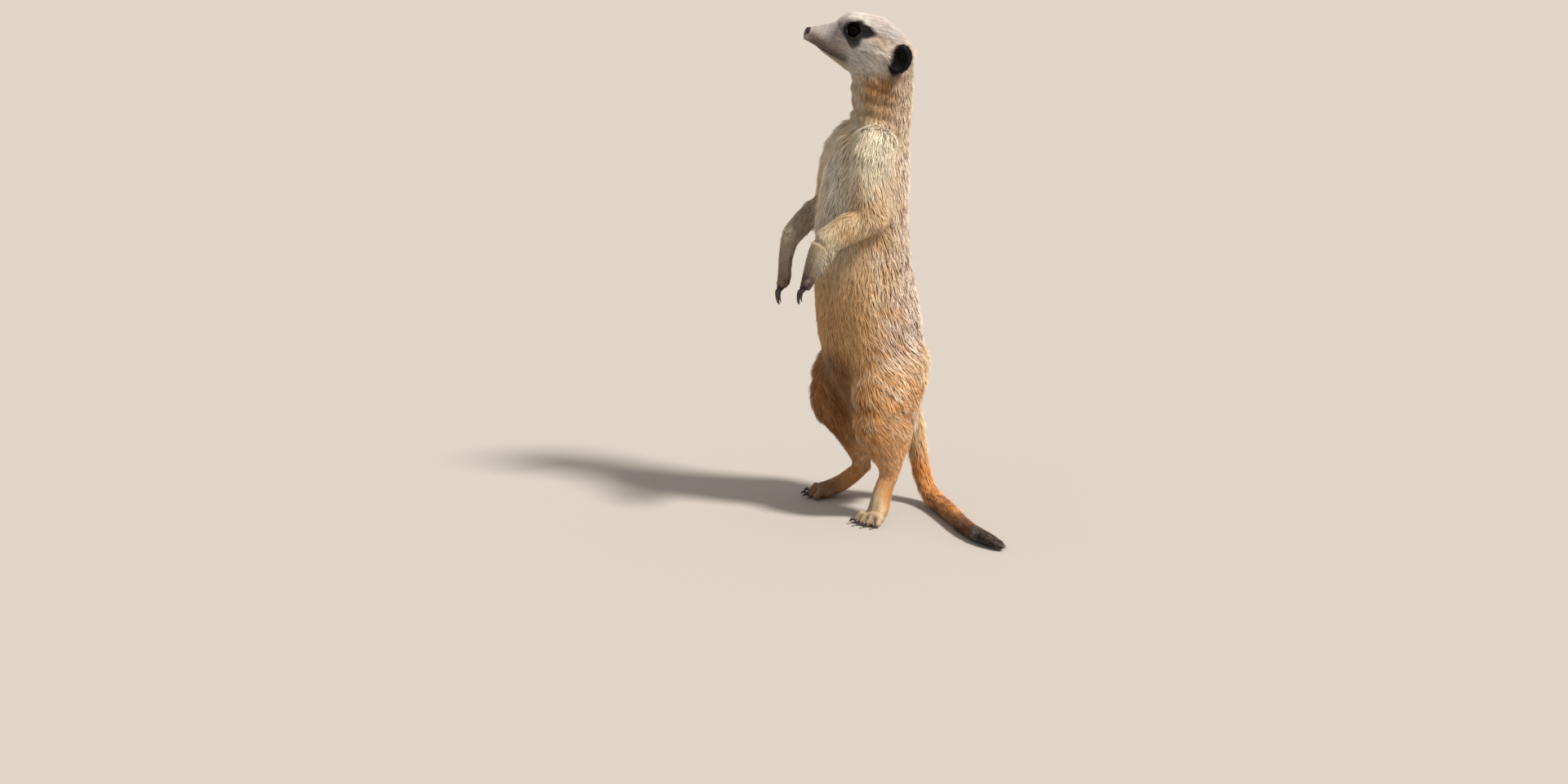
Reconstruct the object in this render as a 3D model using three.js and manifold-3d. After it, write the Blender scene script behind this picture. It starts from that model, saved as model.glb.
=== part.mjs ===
// A meerkat standing guard: upright on its hind feet, forelegs hanging, head raised and turned a little
// to its right, tail let down behind it and laid on the ground. A still, life-size model, parted as its
// body is named. Millimetres. +Z is up and the animal faces -Y, so its own left side is +X.
import * as THREE from "three";
import { mergeVertices } from "three/addons/utils/BufferGeometryUtils.js";
import Module from "manifold-3d";

const wasm = await Module();
wasm.setup();

// ---- Driving dimensions -----------------------------------------------------------------------------

const GAP = 0.3; // clearance between neighbouring lengths of the body
const EYE_HEIGHT = 306.8; // of the eyes above the ground
const EYE_MIDDLE = [-7.2, -6.6]; // the point between the eyes, seen from above
const HEAD_TURN = -25; // degrees, towards the animal's right
const HEAD_RAISE = 21; // degrees, nose up
const EYE_RADIUS = 4.9;
const EYE_PLACE = [12.6, 0, -1.5]; // the left eye's centre, in the head's level frame
const NOSE = { place: [0, -25.5, -14.6], half: [3.4, 2.9, 2.5] };
const EAR = { half: [4.6, 7.6, 9.9], bowl: [4.4, 5.8, 7.6] };
const EAR_PLACES = { left: [19.6, 31.6, -6.6], right: [-20, 28.8, -9.2] }; // the right one is laid down
const FOOT_CLAW = { length: 5, root: 1.3, tip: 0.35, hook: 1.1 };
const HAND_CLAW = { length: 9.2, root: 1.4, tip: 0.35, hook: 2.8 };

const COLOURS = {
  grizzled: 0xa68a72,
  tan: 0xc9a273,
  cream: 0xd8c4a6,
  orange: 0xb87a3e,
  dark: 0x33262a,
  nose: 0x4a3230,
  eye: 0x120d0c,
  claw: 0x231a20,
};

const rad = THREE.MathUtils.degToRad;

// ---- Making solids ----------------------------------------------------------------------------------

const TUBE = { sides: 16, steps: 1.5, dome: [0.8, 0.8], domeRings: 3, square: null, span: [0, 1], grow: 0 };

/** A closed geometry as a solid that can be joined and cut. */
function solid(geometry) {
  const bare = geometry.clone();
  bare.deleteAttribute("normal");
  bare.deleteAttribute("uv");
  const merged = mergeVertices(bare, 1e-3);
  return new wasm.Manifold(
    new wasm.Mesh({
      numProp: 3,
      vertProperties: merged.getAttribute("position").array,
      triVerts: new Uint32Array(merged.index.array),
    }),
  );
}

/** The largest piece of a solid, without the slivers that a cut may leave beside it. */
function largest(shape) {
  const pieces = shape.decompose();
  return pieces.reduce((best, piece) => (piece.volume() > best.volume() ? piece : best), pieces[0]);
}

/**
 * A tube of flesh through stations, each { at: [x, y, z], wide, deep, pear }: oval rings strung along a
 * smooth curve, closed with a dome at both ends. wide is the half width along X, deep the half width
 * square to it, and pear makes the oval broader on its lower side. The rings stand square to the curve,
 * or to the direction `square` if it is set. dome is each end's bulge as a share of its ring, built of
 * domeRings rings, and 0 leaves the end flat. span keeps a stretch of the curve, from 0 to 1, and grow
 * fattens the whole tube by so many millimetres.
 */
function tube(stations, settings) {
  const { sides, steps, dome, domeRings, square, span, grow } = { ...TUBE, ...settings };
  const path = new THREE.CatmullRomCurve3(stations.map((s) => new THREE.Vector3(...s.at)));
  const sizes = new THREE.CatmullRomCurve3(
    stations.map((s) => new THREE.Vector3(s.wide, s.deep ?? s.wide, s.pear ?? 0)),
  );
  const count = Math.max(2, Math.round((stations.length - 1) * steps * (span[1] - span[0])));
  const side = new THREE.Vector3(1, 0, 0);
  const rings = [];
  for (let i = 0; i <= count; i++) {
    const t = span[0] + ((span[1] - span[0]) * i) / count;
    const along = square ? new THREE.Vector3(...square) : path.getTangent(t);
    side.addScaledVector(along, -side.dot(along)).normalize();
    const size = sizes.getPoint(t);
    rings.push({
      centre: path.getPoint(t),
      along,
      side: side.clone(),
      up: new THREE.Vector3().crossVectors(along, side),
      wide: size.x + grow,
      deep: size.y + grow,
      pear: size.z,
    });
  }
  const capped = [...rings];
  [rings[0], rings[count]].forEach((ring, end) => {
    const outwards = end === 0 ? -1 : 1;
    const bulge = dome[end] * Math.min(ring.wide, ring.deep) + (dome[end] > 0 ? 0 : grow);
    for (let k = 1; k <= (dome[end] > 0 ? domeRings - 1 : 0); k++) {
      const angle = (k / domeRings) * (Math.PI / 2);
      const shrink = Math.cos(angle);
      const capRing = {
        ...ring,
        centre: ring.centre.clone().addScaledVector(ring.along, outwards * bulge * Math.sin(angle)),
        wide: ring.wide * shrink,
        deep: ring.deep * shrink,
      };
      if (end === 0) capped.unshift(capRing);
      else capped.push(capRing);
    }
    ring.pole = ring.centre.clone().addScaledVector(ring.along, outwards * bulge);
  });
  const positions = [];
  for (const ring of capped)
    for (let j = 0; j < sides; j++) {
      const angle = (2 * Math.PI * j) / sides;
      const sideways = ring.wide * Math.cos(angle) * (1 - ring.pear * Math.sin(angle));
      const point = ring.centre
        .clone()
        .addScaledVector(ring.side, sideways)
        .addScaledVector(ring.up, ring.deep * Math.sin(angle));
      positions.push(point.x, point.y, point.z);
    }
  positions.push(...rings[0].pole.toArray(), ...rings[count].pole.toArray());
  const faces = [];
  const firstPole = capped.length * sides;
  const lastRing = (capped.length - 1) * sides;
  for (let j = 0; j < sides; j++) {
    const next = (j + 1) % sides;
    faces.push(firstPole, next, j);
    faces.push(firstPole + 1, lastRing + j, lastRing + next);
    for (let i = 0; i < capped.length - 1; i++) {
      const a = i * sides;
      faces.push(a + j, a + next, a + sides + next);
      faces.push(a + j, a + sides + next, a + sides + j);
    }
  }
  const geometry = new THREE.BufferGeometry();
  geometry.setAttribute("position", new THREE.Float32BufferAttribute(positions, 3));
  geometry.setIndex(faces);
  return geometry;
}

/** An ellipsoid about a centre, with its half sizes. */
function ellipsoid(centre, half, sides = 16, rows = 10) {
  const geometry = new THREE.SphereGeometry(1, sides, rows);
  geometry.scale(...half);
  geometry.translate(...centre);
  return geometry;
}

// ---- The middle of the body -------------------------------------------------------------------------

const TRUNK = [
  { at: [0, 15, 56], wide: 22, deep: 17 },
  { at: [0, 11, 68], wide: 28, deep: 23 },
  { at: [0, 7.5, 82], wide: 32, deep: 28 },
  { at: [0, 3.5, 99], wide: 33.5, deep: 31.5 },
  { at: [0, 0, 118], wide: 33.5, deep: 33 },
  { at: [0, -2.8, 138], wide: 32, deep: 32.3 },
  { at: [0, -4.8, 158], wide: 30, deep: 30.7 },
  { at: [0, -5.2, 179], wide: 28.3, deep: 29.4 },
  { at: [0, -3.8, 200], wide: 27, deep: 29 },
  { at: [0, -0.2, 219], wide: 25.5, deep: 26.6 },
  { at: [0, 4.6, 236], wide: 21.5, deep: 21.8 },
];

const NECK = [
  { at: [0, 5, 226], wide: 19, deep: 18.5 },
  { at: [0, 7.6, 242], wide: 18.5, deep: 19.6 },
  { at: [0, 8.8, 257], wide: 17, deep: 19.4 },
  { at: [0, 8.3, 270], wide: 17.2, deep: 20.6 },
  { at: [2, 10.5, 283], wide: 17, deep: 18 },
];

// The head lies level about the point between the eyes, the nose towards -Y, before it is raised and turned.
const HEAD = [
  { at: [0, -25.5, -15.7], wide: 3.9, deep: 3.6 },
  { at: [0, -22, -14.1], wide: 6, deep: 5.6 },
  { at: [0, -17.5, -14.1], wide: 7.8, deep: 8, pear: 0.05 },
  { at: [0, -13, -13.8], wide: 10, deep: 10.4, pear: 0.1 },
  { at: [0, -10, -11.6], wide: 13, deep: 13.4, pear: 0.14 },
  { at: [0, -6.4, -9.8], wide: 15.4, deep: 16.4, pear: 0.17 },
  { at: [0, -1.4, -10], wide: 17.6, deep: 17.6, pear: 0.16 },
  { at: [0, 4, -10], wide: 20.2, deep: 18.8, pear: 0.14 },
  { at: [0, 9.5, -9.1], wide: 22.4, deep: 19.2, pear: 0.12 },
  { at: [0, 16, -8], wide: 23.8, deep: 18.3, pear: 0.08 },
  { at: [0, 23, -7.5], wide: 23, deep: 16, pear: 0.04 },
  { at: [0, 30, -7.4], wide: 19.6, deep: 12.6 },
  { at: [0, 36, -7.4], wide: 14, deep: 8.6 },
];

/** Carries a solid from the head's level frame to its place on the body. */
function onHead(shape) {
  return shape
    .rotate([-HEAD_RAISE, 0, 0])
    .rotate([0, 0, HEAD_TURN])
    .translate([...EYE_MIDDLE, EYE_HEIGHT]);
}

/** An ear: a low round cup that opens outwards and forwards, standing against the side of the head. */
function earShape(side, grow) {
  const [x, y, z] = EAR_PLACES[side];
  const outer = solid(ellipsoid([x, y, z], EAR.half.map((h) => h + grow), 12, 7));
  if (grow > 0) return onHead(outer);
  const bowl = solid(ellipsoid([x + Math.sign(x) * 3.6, y - 1.6, z + 0.2], EAR.bowl, 10, 6));
  return onHead(outer.subtract(bowl));
}

// ---- The limbs --------------------------------------------------------------------------------------

const UPPER_ARMS = {
  left: [
    { at: [17, -2, 240], wide: 12, deep: 14 },
    { at: [22.5, -8, 233], wide: 12, deep: 15 },
    { at: [26, -13.5, 219], wide: 11, deep: 13 },
    { at: [28.5, -13.5, 204], wide: 10, deep: 12 },
    { at: [30, -12, 191], wide: 9, deep: 10.6 },
  ],
  right: [
    { at: [-16, 0, 236], wide: 12, deep: 12.5 },
    { at: [-21.5, -5.5, 229], wide: 12, deep: 13.5 },
    { at: [-25.5, -10, 216], wide: 10.8, deep: 12.2 },
    { at: [-28, -11.5, 203], wide: 9.8, deep: 11.4 },
    { at: [-29.6, -11.5, 191.5], wide: 9, deep: 10.4 },
  ],
};

const FOREARMS = {
  left: [
    { at: [29.8, -9, 193], wide: 7.4, deep: 8.4 },
    { at: [29.6, -20.6, 190.4], wide: 8, deep: 10.6 },
    { at: [28.6, -33, 185.4], wide: 7.6, deep: 9.7 },
    { at: [27, -44, 179.4], wide: 7.3, deep: 8.4 },
  ],
  right: [
    { at: [-29.6, -9, 192.4], wide: 7.4, deep: 8.2 },
    { at: [-28.6, -22, 187.6], wide: 7.6, deep: 8.4 },
    { at: [-26, -34, 180.4], wide: 7, deep: 7.4 },
    { at: [-23, -43.2, 173.4], wide: 6.6, deep: 6.8 },
  ],
};

const HANDS = {
  left: [
    { at: [26.9, -45.4, 177.6], wide: 7.2, deep: 7.8 },
    { at: [26.5, -49.6, 169.8], wide: 6.8, deep: 6.2 },
    { at: [25.9, -52.4, 163], wide: 6.3, deep: 4.5 },
    { at: [25.5, -54, 156.8], wide: 6, deep: 4.1 },
    { at: [25.4, -56.2, 152], wide: 5.4, deep: 2.7 },
  ],
  right: [
    { at: [-22.8, -44.2, 171.6], wide: 6.5, deep: 6.2 },
    { at: [-22.4, -46.8, 162.4], wide: 6.3, deep: 4.6 },
    { at: [-22, -48, 153.6], wide: 6.1, deep: 3.9 },
    { at: [-21.9, -48.4, 146.8], wide: 6, deep: 4.1 },
    { at: [-22, -50.2, 142.6], wide: 5.4, deep: 2.6 },
  ],
};

const THIGHS = {
  left: [
    { at: [12, 15, 108], wide: 15, deep: 18 },
    { at: [19, 9.6, 94], wide: 17.8, deep: 23.4 },
    { at: [25, 0.5, 82], wide: 17.4, deep: 24.5 },
    { at: [29, -7.5, 72], wide: 14.6, deep: 20 },
  ],
  right: [
    { at: [-12, 15, 108], wide: 15, deep: 18 },
    { at: [-19, 8, 95], wide: 17.8, deep: 23.4 },
    { at: [-24.6, -3, 84], wide: 17.4, deep: 24 },
    { at: [-28, -12, 75.5], wide: 14.6, deep: 19 },
  ],
};

const SHANKS = {
  left: [
    { at: [28.5, -9, 75], wide: 12.5, deep: 13 },
    { at: [30, -6.4, 62], wide: 13, deep: 19.4 },
    { at: [31, -2.6, 51], wide: 11.4, deep: 17.4 },
    { at: [31.4, -1.6, 41], wide: 8.6, deep: 12.4 },
    { at: [31.6, -1, 33.5], wide: 6.9, deep: 8 },
    { at: [31.6, -1.4, 28.5], wide: 6.1, deep: 6.5 },
  ],
  right: [
    { at: [-28.5, -15.5, 75], wide: 12.5, deep: 13 },
    { at: [-29.5, -10, 63], wide: 13, deep: 16.6 },
    { at: [-30, -2.8, 51], wide: 11, deep: 13.2 },
    { at: [-30, 2.8, 38.5], wide: 8, deep: 9.4 },
    { at: [-29.8, 7.6, 28], wide: 6.6, deep: 7.4 },
    { at: [-29.6, 9.6, 22], wide: 5.9, deep: 6.2 },
  ],
};

const FEET = {
  left: [
    { at: [31.6, -1, 28.6], wide: 5.8, deep: 6.2 },
    { at: [32.8, -5, 21.6], wide: 5.8, deep: 6.3 },
    { at: [34.8, -8.6, 14.4], wide: 6.8, deep: 6.6 },
    { at: [37, -11.4, 8], wide: 8.4, deep: 6.2 },
    { at: [39.2, -15.4, 4.4], wide: 9, deep: 5 },
    { at: [40.2, -18.4, 3.9], wide: 8.6, deep: 4.4 },
  ],
  right: [
    { at: [-29.6, 11.4, 20.6], wide: 5.6, deep: 5.8 },
    { at: [-30.2, 5.4, 15], wide: 5.8, deep: 5.6 },
    { at: [-31.6, -2.4, 9.4], wide: 6.8, deep: 5.3 },
    { at: [-33.6, -10.6, 5.4], wide: 8.4, deep: 5.1 },
    { at: [-35, -16, 4.2], wide: 8.7, deep: 4.7 },
  ],
};

// ---- Toes and claws ---------------------------------------------------------------------------------

/**
 * The four digits of a paw, side by side: they leave the point `from`, run along `forward`, and fan out
 * over `spread` degrees across the direction `side`, arched by `rise` at the knuckle and bent by `drop`
 * at the tip. Each entry holds a digit's stations and the place and direction of its claw.
 */
function digits({ from, forward, side, down, pitch, spread, reach, radius, rise, drop }) {
  const start = new THREE.Vector3(...from);
  const ahead = new THREE.Vector3(...forward).normalize();
  const beside = new THREE.Vector3(...side).normalize();
  const below = new THREE.Vector3(...down).normalize();
  return reach.map((length, i) => {
    const place = i - (reach.length - 1) / 2;
    const turn = rad((place * spread) / (reach.length - 1));
    const heading = ahead.clone().multiplyScalar(Math.cos(turn)).addScaledVector(beside, Math.sin(turn));
    const root = start.clone().addScaledVector(beside, place * pitch);
    const knuckle = root.clone().addScaledVector(heading, length * 0.5).addScaledVector(below, -rise);
    const tip = root.clone().addScaledVector(heading, length).addScaledVector(below, drop);
    return {
      stations: [
        { at: root.toArray(), wide: radius, deep: radius },
        { at: knuckle.toArray(), wide: radius * 1.05, deep: radius * 1.08 },
        { at: tip.toArray(), wide: radius * 0.92, deep: radius * 0.9 },
      ],
      tip,
      heading,
      below,
    };
  });
}

/** A curved claw that leaves a digit's tip along its heading and hooks towards `below`. */
function claw({ tip, heading, below }, { length, root, tip: point, hook }, lift) {
  const along = (share, drop) =>
    tip
      .clone()
      .addScaledVector(heading, length * share)
      .addScaledVector(below, drop - lift)
      .toArray();
  return tube(
    [
      { at: along(0, 0), wide: root * 0.8, deep: root },
      { at: along(0.55, hook * 0.2), wide: root * 0.66, deep: root * 0.9 },
      { at: along(1, hook), wide: point, deep: point },
    ],
    { sides: 5, steps: 1, dome: [0.4, 0.8], domeRings: 1 },
  );
}

const FOOT_DIGITS = {
  left: digits({
    from: [39.4, -15.4, 4.8], forward: [0.3, -1, 0], side: [1, 0.3, 0], down: [0, 0, -1],
    pitch: 4.6, spread: 30, reach: [7.2, 8.8, 8.4, 5.8], radius: 2.8, rise: 0.5, drop: 2.8,
  }),
  right: digits({
    from: [-35, -15.4, 4.6], forward: [-0.24, -1, 0], side: [1, -0.24, 0], down: [0, 0, -1],
    pitch: 4.6, spread: 30, reach: [5.8, 8.6, 9, 7.2], radius: 2.8, rise: 0.5, drop: 2.6,
  }),
};

const HAND_DIGITS = {
  left: digits({
    from: [25.6, -55.4, 156], forward: [0, -0.62, -1], side: [0.94, -0.27, 0.2],
    down: [0.2, 0.9, -0.5], pitch: 3.3, spread: 8, reach: [4.6, 5.8, 5.6, 4], radius: 2.1,
    rise: 0.4, drop: 0.5,
  }),
  right: digits({
    from: [-22, -49.9, 146.2], forward: [0, -0.34, -1], side: [0.94, -0.27, 0.2],
    down: [0.2, 0.9, -0.36], pitch: 3.3, spread: 8, reach: [4.6, 5.8, 5.6, 4.4], radius: 2.1,
    rise: 0.4, drop: 0.5,
  }),
};

/** A paw as one solid: its palm or sole with the four digits that grow from it. */
function paw(stations, fingers, grow) {
  const palm = solid(tube(stations, { sides: 10, dome: [0.5, 0.55], domeRings: 2, grow }));
  return fingers.reduce(
    (whole, digit) => whole.add(solid(tube(digit.stations, { sides: 6, steps: 1, domeRings: 1, grow }))),
    palm,
  );
}

// ---- The tail ---------------------------------------------------------------------------------------

// It hangs from the rump, and lies out to the animal's left where it meets the ground.
const TAIL = [
  { at: [0, 20, 70], wide: 11 },
  { at: [0, 28.5, 54], wide: 9.4 },
  { at: [0.4, 32.6, 39], wide: 7.2 },
  { at: [2, 34.2, 26], wide: 6.5 },
  { at: [6, 35.2, 14.6], wide: 6.3 },
  { at: [15, 35.4, 7.6], wide: 6.2 },
  { at: [30, 34.4, 5.7], wide: 6 },
  { at: [52, 31, 5.4], wide: 5.7 },
  { at: [76, 26.5, 5], wide: 5.3 },
  { at: [98, 24, 4.7], wide: 5 },
  { at: [113, 24.5, 4.5], wide: 4.8 },
  { at: [126, 27, 3.6], wide: 3.6 },
];
const TAIL_LENGTHS = { tail_base: [0, 0.4525], tail_middle: [0.4545, 0.7263], tail_tip: [0.7283, 1] };

function tailShape(name, grow) {
  const span = TAIL_LENGTHS[name];
  const dome = [span[0] === 0 ? 0.8 : 0, span[1] === 1 ? 1.4 : 0];
  return solid(tube(TAIL, { sides: 10, dome, span, grow }));
}

// ---- Every part by name -----------------------------------------------------------------------------

const makers = {
  trunk: (grow) => solid(tube(TRUNK, { sides: 20, dome: [0.7, 0.3], grow })),
  neck: (grow) => solid(tube(NECK, { sides: 16, dome: [0.3, 0.4], domeRings: 2, grow })),
  head: (grow) => {
    const shape = { sides: 20, steps: 1.25, dome: [0.5, 0.75], square: [0, 1, 0], grow };
    return onHead(solid(tube(HEAD, shape)));
  },
  nose: (grow) => onHead(solid(ellipsoid(NOSE.place, NOSE.half.map((h) => h + grow), 8, 6))),
  tail_base: (grow) => tailShape("tail_base", grow),
  tail_middle: (grow) => tailShape("tail_middle", grow),
  tail_tip: (grow) => tailShape("tail_tip", grow),
};
const cutBy = {
  trunk: [],
  neck: ["trunk", "head"],
  head: ["eye_left", "eye_right", "nose"],
  nose: [],
  tail_base: ["trunk"],
  tail_middle: [],
  tail_tip: [],
};
const colourOf = {
  trunk: "grizzled",
  neck: "tan",
  head: "cream",
  nose: "nose",
  tail_base: "orange",
  tail_middle: "orange",
  tail_tip: "dark",
};

function addPart(name, colour, cutters, maker) {
  makers[name] = maker;
  cutBy[name] = cutters;
  colourOf[name] = colour;
}

for (const [side, sign] of [
  ["left", 1],
  ["right", -1],
]) {
  const eyePlace = [sign * EYE_PLACE[0], EYE_PLACE[1], EYE_PLACE[2]];
  addPart(`eye_${side}`, "eye", [], (grow) =>
    onHead(solid(ellipsoid(eyePlace, new Array(3).fill(EYE_RADIUS + grow), 10, 7))),
  );
  addPart(`ear_${side}`, "dark", ["head", "neck"], (grow) => earShape(side, grow));
  addPart(`upper_arm_${side}`, "tan", ["trunk", "neck"], (grow) =>
    solid(tube(UPPER_ARMS[side], { sides: 12, dome: [0.6, 0.8], domeRings: 2, grow })),
  );
  addPart(`forearm_${side}`, "tan", ["trunk", `upper_arm_${side}`], (grow) =>
    solid(tube(FOREARMS[side], { sides: 11, dome: [0.6, 0.5], domeRings: 2, grow })),
  );
  addPart(`hand_${side}`, "cream", [`forearm_${side}`], (grow) =>
    paw(HANDS[side], HAND_DIGITS[side], grow),
  );
  addPart(`thigh_${side}`, "tan", ["trunk"], (grow) =>
    solid(tube(THIGHS[side], { sides: 14, dome: [0.6, 0.75], grow })),
  );
  addPart(`shank_${side}`, "orange", ["trunk", `thigh_${side}`], (grow) =>
    solid(tube(SHANKS[side], { sides: 11, dome: [0.7, 0.5], domeRings: 2, grow })),
  );
  addPart(`foot_${side}`, "cream", [`shank_${side}`], (grow) =>
    paw(FEET[side], FOOT_DIGITS[side], grow),
  );
  HAND_DIGITS[side].forEach((digit, i) => {
    addPart(`claw_hand_${side}_${i + 1}`, "claw", [`hand_${side}`], () =>
      solid(claw(digit, HAND_CLAW, 0.4)),
    );
  });
  FOOT_DIGITS[side].forEach((digit, i) => {
    addPart(`claw_foot_${side}_${i + 1}`, "claw", [`foot_${side}`], () =>
      solid(claw(digit, FOOT_CLAW, 0.9)),
    );
  });
}

// ---- Building ---------------------------------------------------------------------------------------

const SOIL = solid(new THREE.BoxGeometry(600, 600, 100).translate(0, 0, -50));

const group = new THREE.Group();
for (const [name, make] of Object.entries(makers)) {
  let shape = make(0);
  for (const cutter of cutBy[name]) shape = shape.subtract(makers[cutter](GAP));
  const cut = largest(shape.subtract(SOIL)).getMesh();
  const geometry = new THREE.BufferGeometry();
  geometry.setAttribute("position", new THREE.BufferAttribute(cut.vertProperties, 3));
  geometry.setIndex(new THREE.BufferAttribute(cut.triVerts, 1));
  geometry.computeVertexNormals();
  const colour = colourOf[name];
  const roughness = colour === "eye" ? 0.08 : 0.85;
  const material = new THREE.MeshStandardMaterial({ color: COLOURS[colour], roughness, metalness: 0 });
  material.name = colour;
  const mesh = new THREE.Mesh(geometry, material);
  mesh.name = name;
  group.add(mesh);
}

// The origin is on the ground, under the middle of the whole model's box.
const bounds = new THREE.Box3().setFromObject(group);
const middle = bounds.getCenter(new THREE.Vector3());
group.position.set(-middle.x, -middle.y, -bounds.min.z);

export default group;
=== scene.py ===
# %% [markdown]
# # A meerkat on its hind legs, dressed over its solid frame
#
# The frame is the plain solid meerkat: a head, a neck, a trunk, four limbs, a tail, two eyes, a
# nose and sixteen claws, each at its real size and place. This lesson gives it its looks. One skin
# is drawn over all the flesh, the face is worked into the skin, and then the coat is laid on it
# tuft by tuft, combed the way a meerkat's fur lies.
#
# Everything starts from the frame, so it is loaded first.

import bmesh
import bpy
import numpy as np
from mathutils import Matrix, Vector


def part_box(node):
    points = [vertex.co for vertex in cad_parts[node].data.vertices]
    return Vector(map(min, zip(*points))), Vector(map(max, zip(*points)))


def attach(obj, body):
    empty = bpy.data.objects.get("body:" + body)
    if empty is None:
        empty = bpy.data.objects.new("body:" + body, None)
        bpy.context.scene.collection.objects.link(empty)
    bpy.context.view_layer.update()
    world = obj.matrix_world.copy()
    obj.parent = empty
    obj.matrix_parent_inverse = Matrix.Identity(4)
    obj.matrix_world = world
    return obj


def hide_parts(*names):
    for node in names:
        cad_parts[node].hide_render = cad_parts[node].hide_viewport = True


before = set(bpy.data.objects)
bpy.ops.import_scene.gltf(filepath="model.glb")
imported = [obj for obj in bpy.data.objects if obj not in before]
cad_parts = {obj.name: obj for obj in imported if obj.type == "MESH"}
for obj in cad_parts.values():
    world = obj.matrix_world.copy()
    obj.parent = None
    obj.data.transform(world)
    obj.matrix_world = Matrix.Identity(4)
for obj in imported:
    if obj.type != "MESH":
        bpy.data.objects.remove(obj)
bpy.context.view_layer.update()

MM = 0.001

# %% [markdown]
# ## Where things are
#
# The animal faces -Y and stands a little to one side of the frame's middle. Places on the body
# are easier to give from the animal's own middle line, so a small function turns such a place, in
# millimetres, into the frame's metres. The middle line is read from the trunk's box.
#
# The head is turned and tipped, so it has a measure of its own: x to the animal's left, y from
# the nose back, z up, all from the point between the eyes. Going both ways between the head's
# measure and the frame is one rotation and one shift.

# %% Body places and head places
trunk_low, trunk_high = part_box("trunk")
TRUNK_FRONT = 35.44
MIDDLE = np.array([(trunk_low.x + trunk_high.x) / 2, trunk_low.y + TRUNK_FRONT * MM, 0.0])


def on_body(place):
    """Metres in the frame for a place in millimetres from the animal's middle line."""
    return np.asarray(place, float) * MM + MIDDLE


def turn_about(axis, degrees):
    """A 3 x 3 rotation about x, y or z, from the sine and cosine of the angle."""
    c, s = np.cos(np.radians(degrees)), np.sin(np.radians(degrees))
    return {
        "x": np.array([[1, 0, 0], [0, c, -s], [0, s, c]]),
        "y": np.array([[c, 0, s], [0, 1, 0], [-s, 0, c]]),
        "z": np.array([[c, -s, 0], [s, c, 0], [0, 0, 1]]),
    }[axis]


HEAD_TURN, HEAD_TIP = -25, -21
HEAD_ROTATION = turn_about("z", HEAD_TURN) @ turn_about("x", HEAD_TIP)
eye_boxes = [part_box("eye_" + side) for side in ("left", "right")]
EYE_MIDDLES = np.array([(np.array(a) + np.array(b)) / 2 for a, b in eye_boxes])
EYE_RADIUS = (eye_boxes[0][1].z - eye_boxes[0][0].z) / 2
EYE_DROP = 1.5 * MM
BETWEEN_EYES = EYE_MIDDLES.mean(0) + HEAD_ROTATION @ [0, 0, EYE_DROP]


def on_head(place):
    """Metres in the frame for a place in millimetres in the head's own measure."""
    return np.asarray(place, float) * MM @ HEAD_ROTATION.T + BETWEEN_EYES


def in_head(points):
    """The same the other way: frame metres to head millimetres."""
    return (points - BETWEEN_EYES) @ HEAD_ROTATION / MM


GAZE = np.array([0.91, -0.40, 0.10])
GAZES = [HEAD_ROTATION @ (GAZE * [turn, 1, 1]) / np.linalg.norm(GAZE) for turn in (1, -1)]


def about_eye(points, which):
    """How far each point is out from an eye's line of sight, and how high along it, in mm, with
    the direction from that line to the point."""
    off = (points - EYE_MIDDLES[which]) / MM
    rise = off @ GAZES[which]
    away = off - rise[:, None] * GAZES[which]
    out = np.linalg.norm(away, axis=1)
    return out, rise, away / np.maximum(out, 1e-9)[:, None]


print("middle line at", MIDDLE.round(4), "point between the eyes", BETWEEN_EYES.round(4))

# %% [markdown]
# ## The camera
#
# The camera looks at the animal's left side from a little in front and above, through a long
# lens, and the animal stands right of the middle of a wide frame. A camera in Blender looks along
# its own -Z, so it is turned by aiming that axis at a point, here an empty place beside the body.

# %% Camera
CAMERA_AZIMUTH, CAMERA_HEIGHT_ANGLE = np.radians(65), np.radians(14)
CAMERA_LENS, CAMERA_DISTANCE = 177.4, 4.84
AIM = on_body([-38.6, -40.8, 69.7])
towards_camera = np.array([
    np.sin(CAMERA_AZIMUTH) * np.cos(CAMERA_HEIGHT_ANGLE),
    -np.cos(CAMERA_AZIMUTH) * np.cos(CAMERA_HEIGHT_ANGLE),
    np.sin(CAMERA_HEIGHT_ANGLE),
])
camera_data = bpy.data.cameras.new("camera")
camera_data.lens, camera_data.sensor_width = CAMERA_LENS, 36
camera = bpy.data.objects.new("camera", camera_data)
camera.location = AIM + towards_camera * CAMERA_DISTANCE
camera.rotation_euler = Vector(-towards_camera).to_track_quat("-Z", "Y").to_euler()
bpy.context.scene.collection.objects.link(camera)
bpy.context.scene.camera = camera
print("camera at", [round(v, 3) for v in camera.location])

# %% [markdown]
# ## Mesh numbers
#
# Numpy works on whole arrays at once, so a mesh is taken out of Blender as an array of points and
# an array of triangles, changed, and put back. `foreach_get` and `foreach_set` move all the
# numbers in one call, which is hundreds of times faster than a loop over vertices.

# %% Mesh in and out
def points_of(mesh):
    """All corner points of a mesh as an (n, 3) array."""
    flat = np.empty(len(mesh.vertices) * 3)
    mesh.vertices.foreach_get("co", flat)
    return flat.reshape(-1, 3)


def triangles_of(mesh):
    """All triangles of a mesh as an (m, 3) array of point numbers."""
    mesh.calc_loop_triangles()
    flat = np.empty(len(mesh.loop_triangles) * 3, np.int32)
    mesh.loop_triangles.foreach_get("vertices", flat)
    return flat.reshape(-1, 3)


def unit(vectors):
    """Vectors over their own length."""
    return vectors / np.maximum(np.linalg.norm(vectors, axis=-1, keepdims=True), 1e-12)


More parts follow.
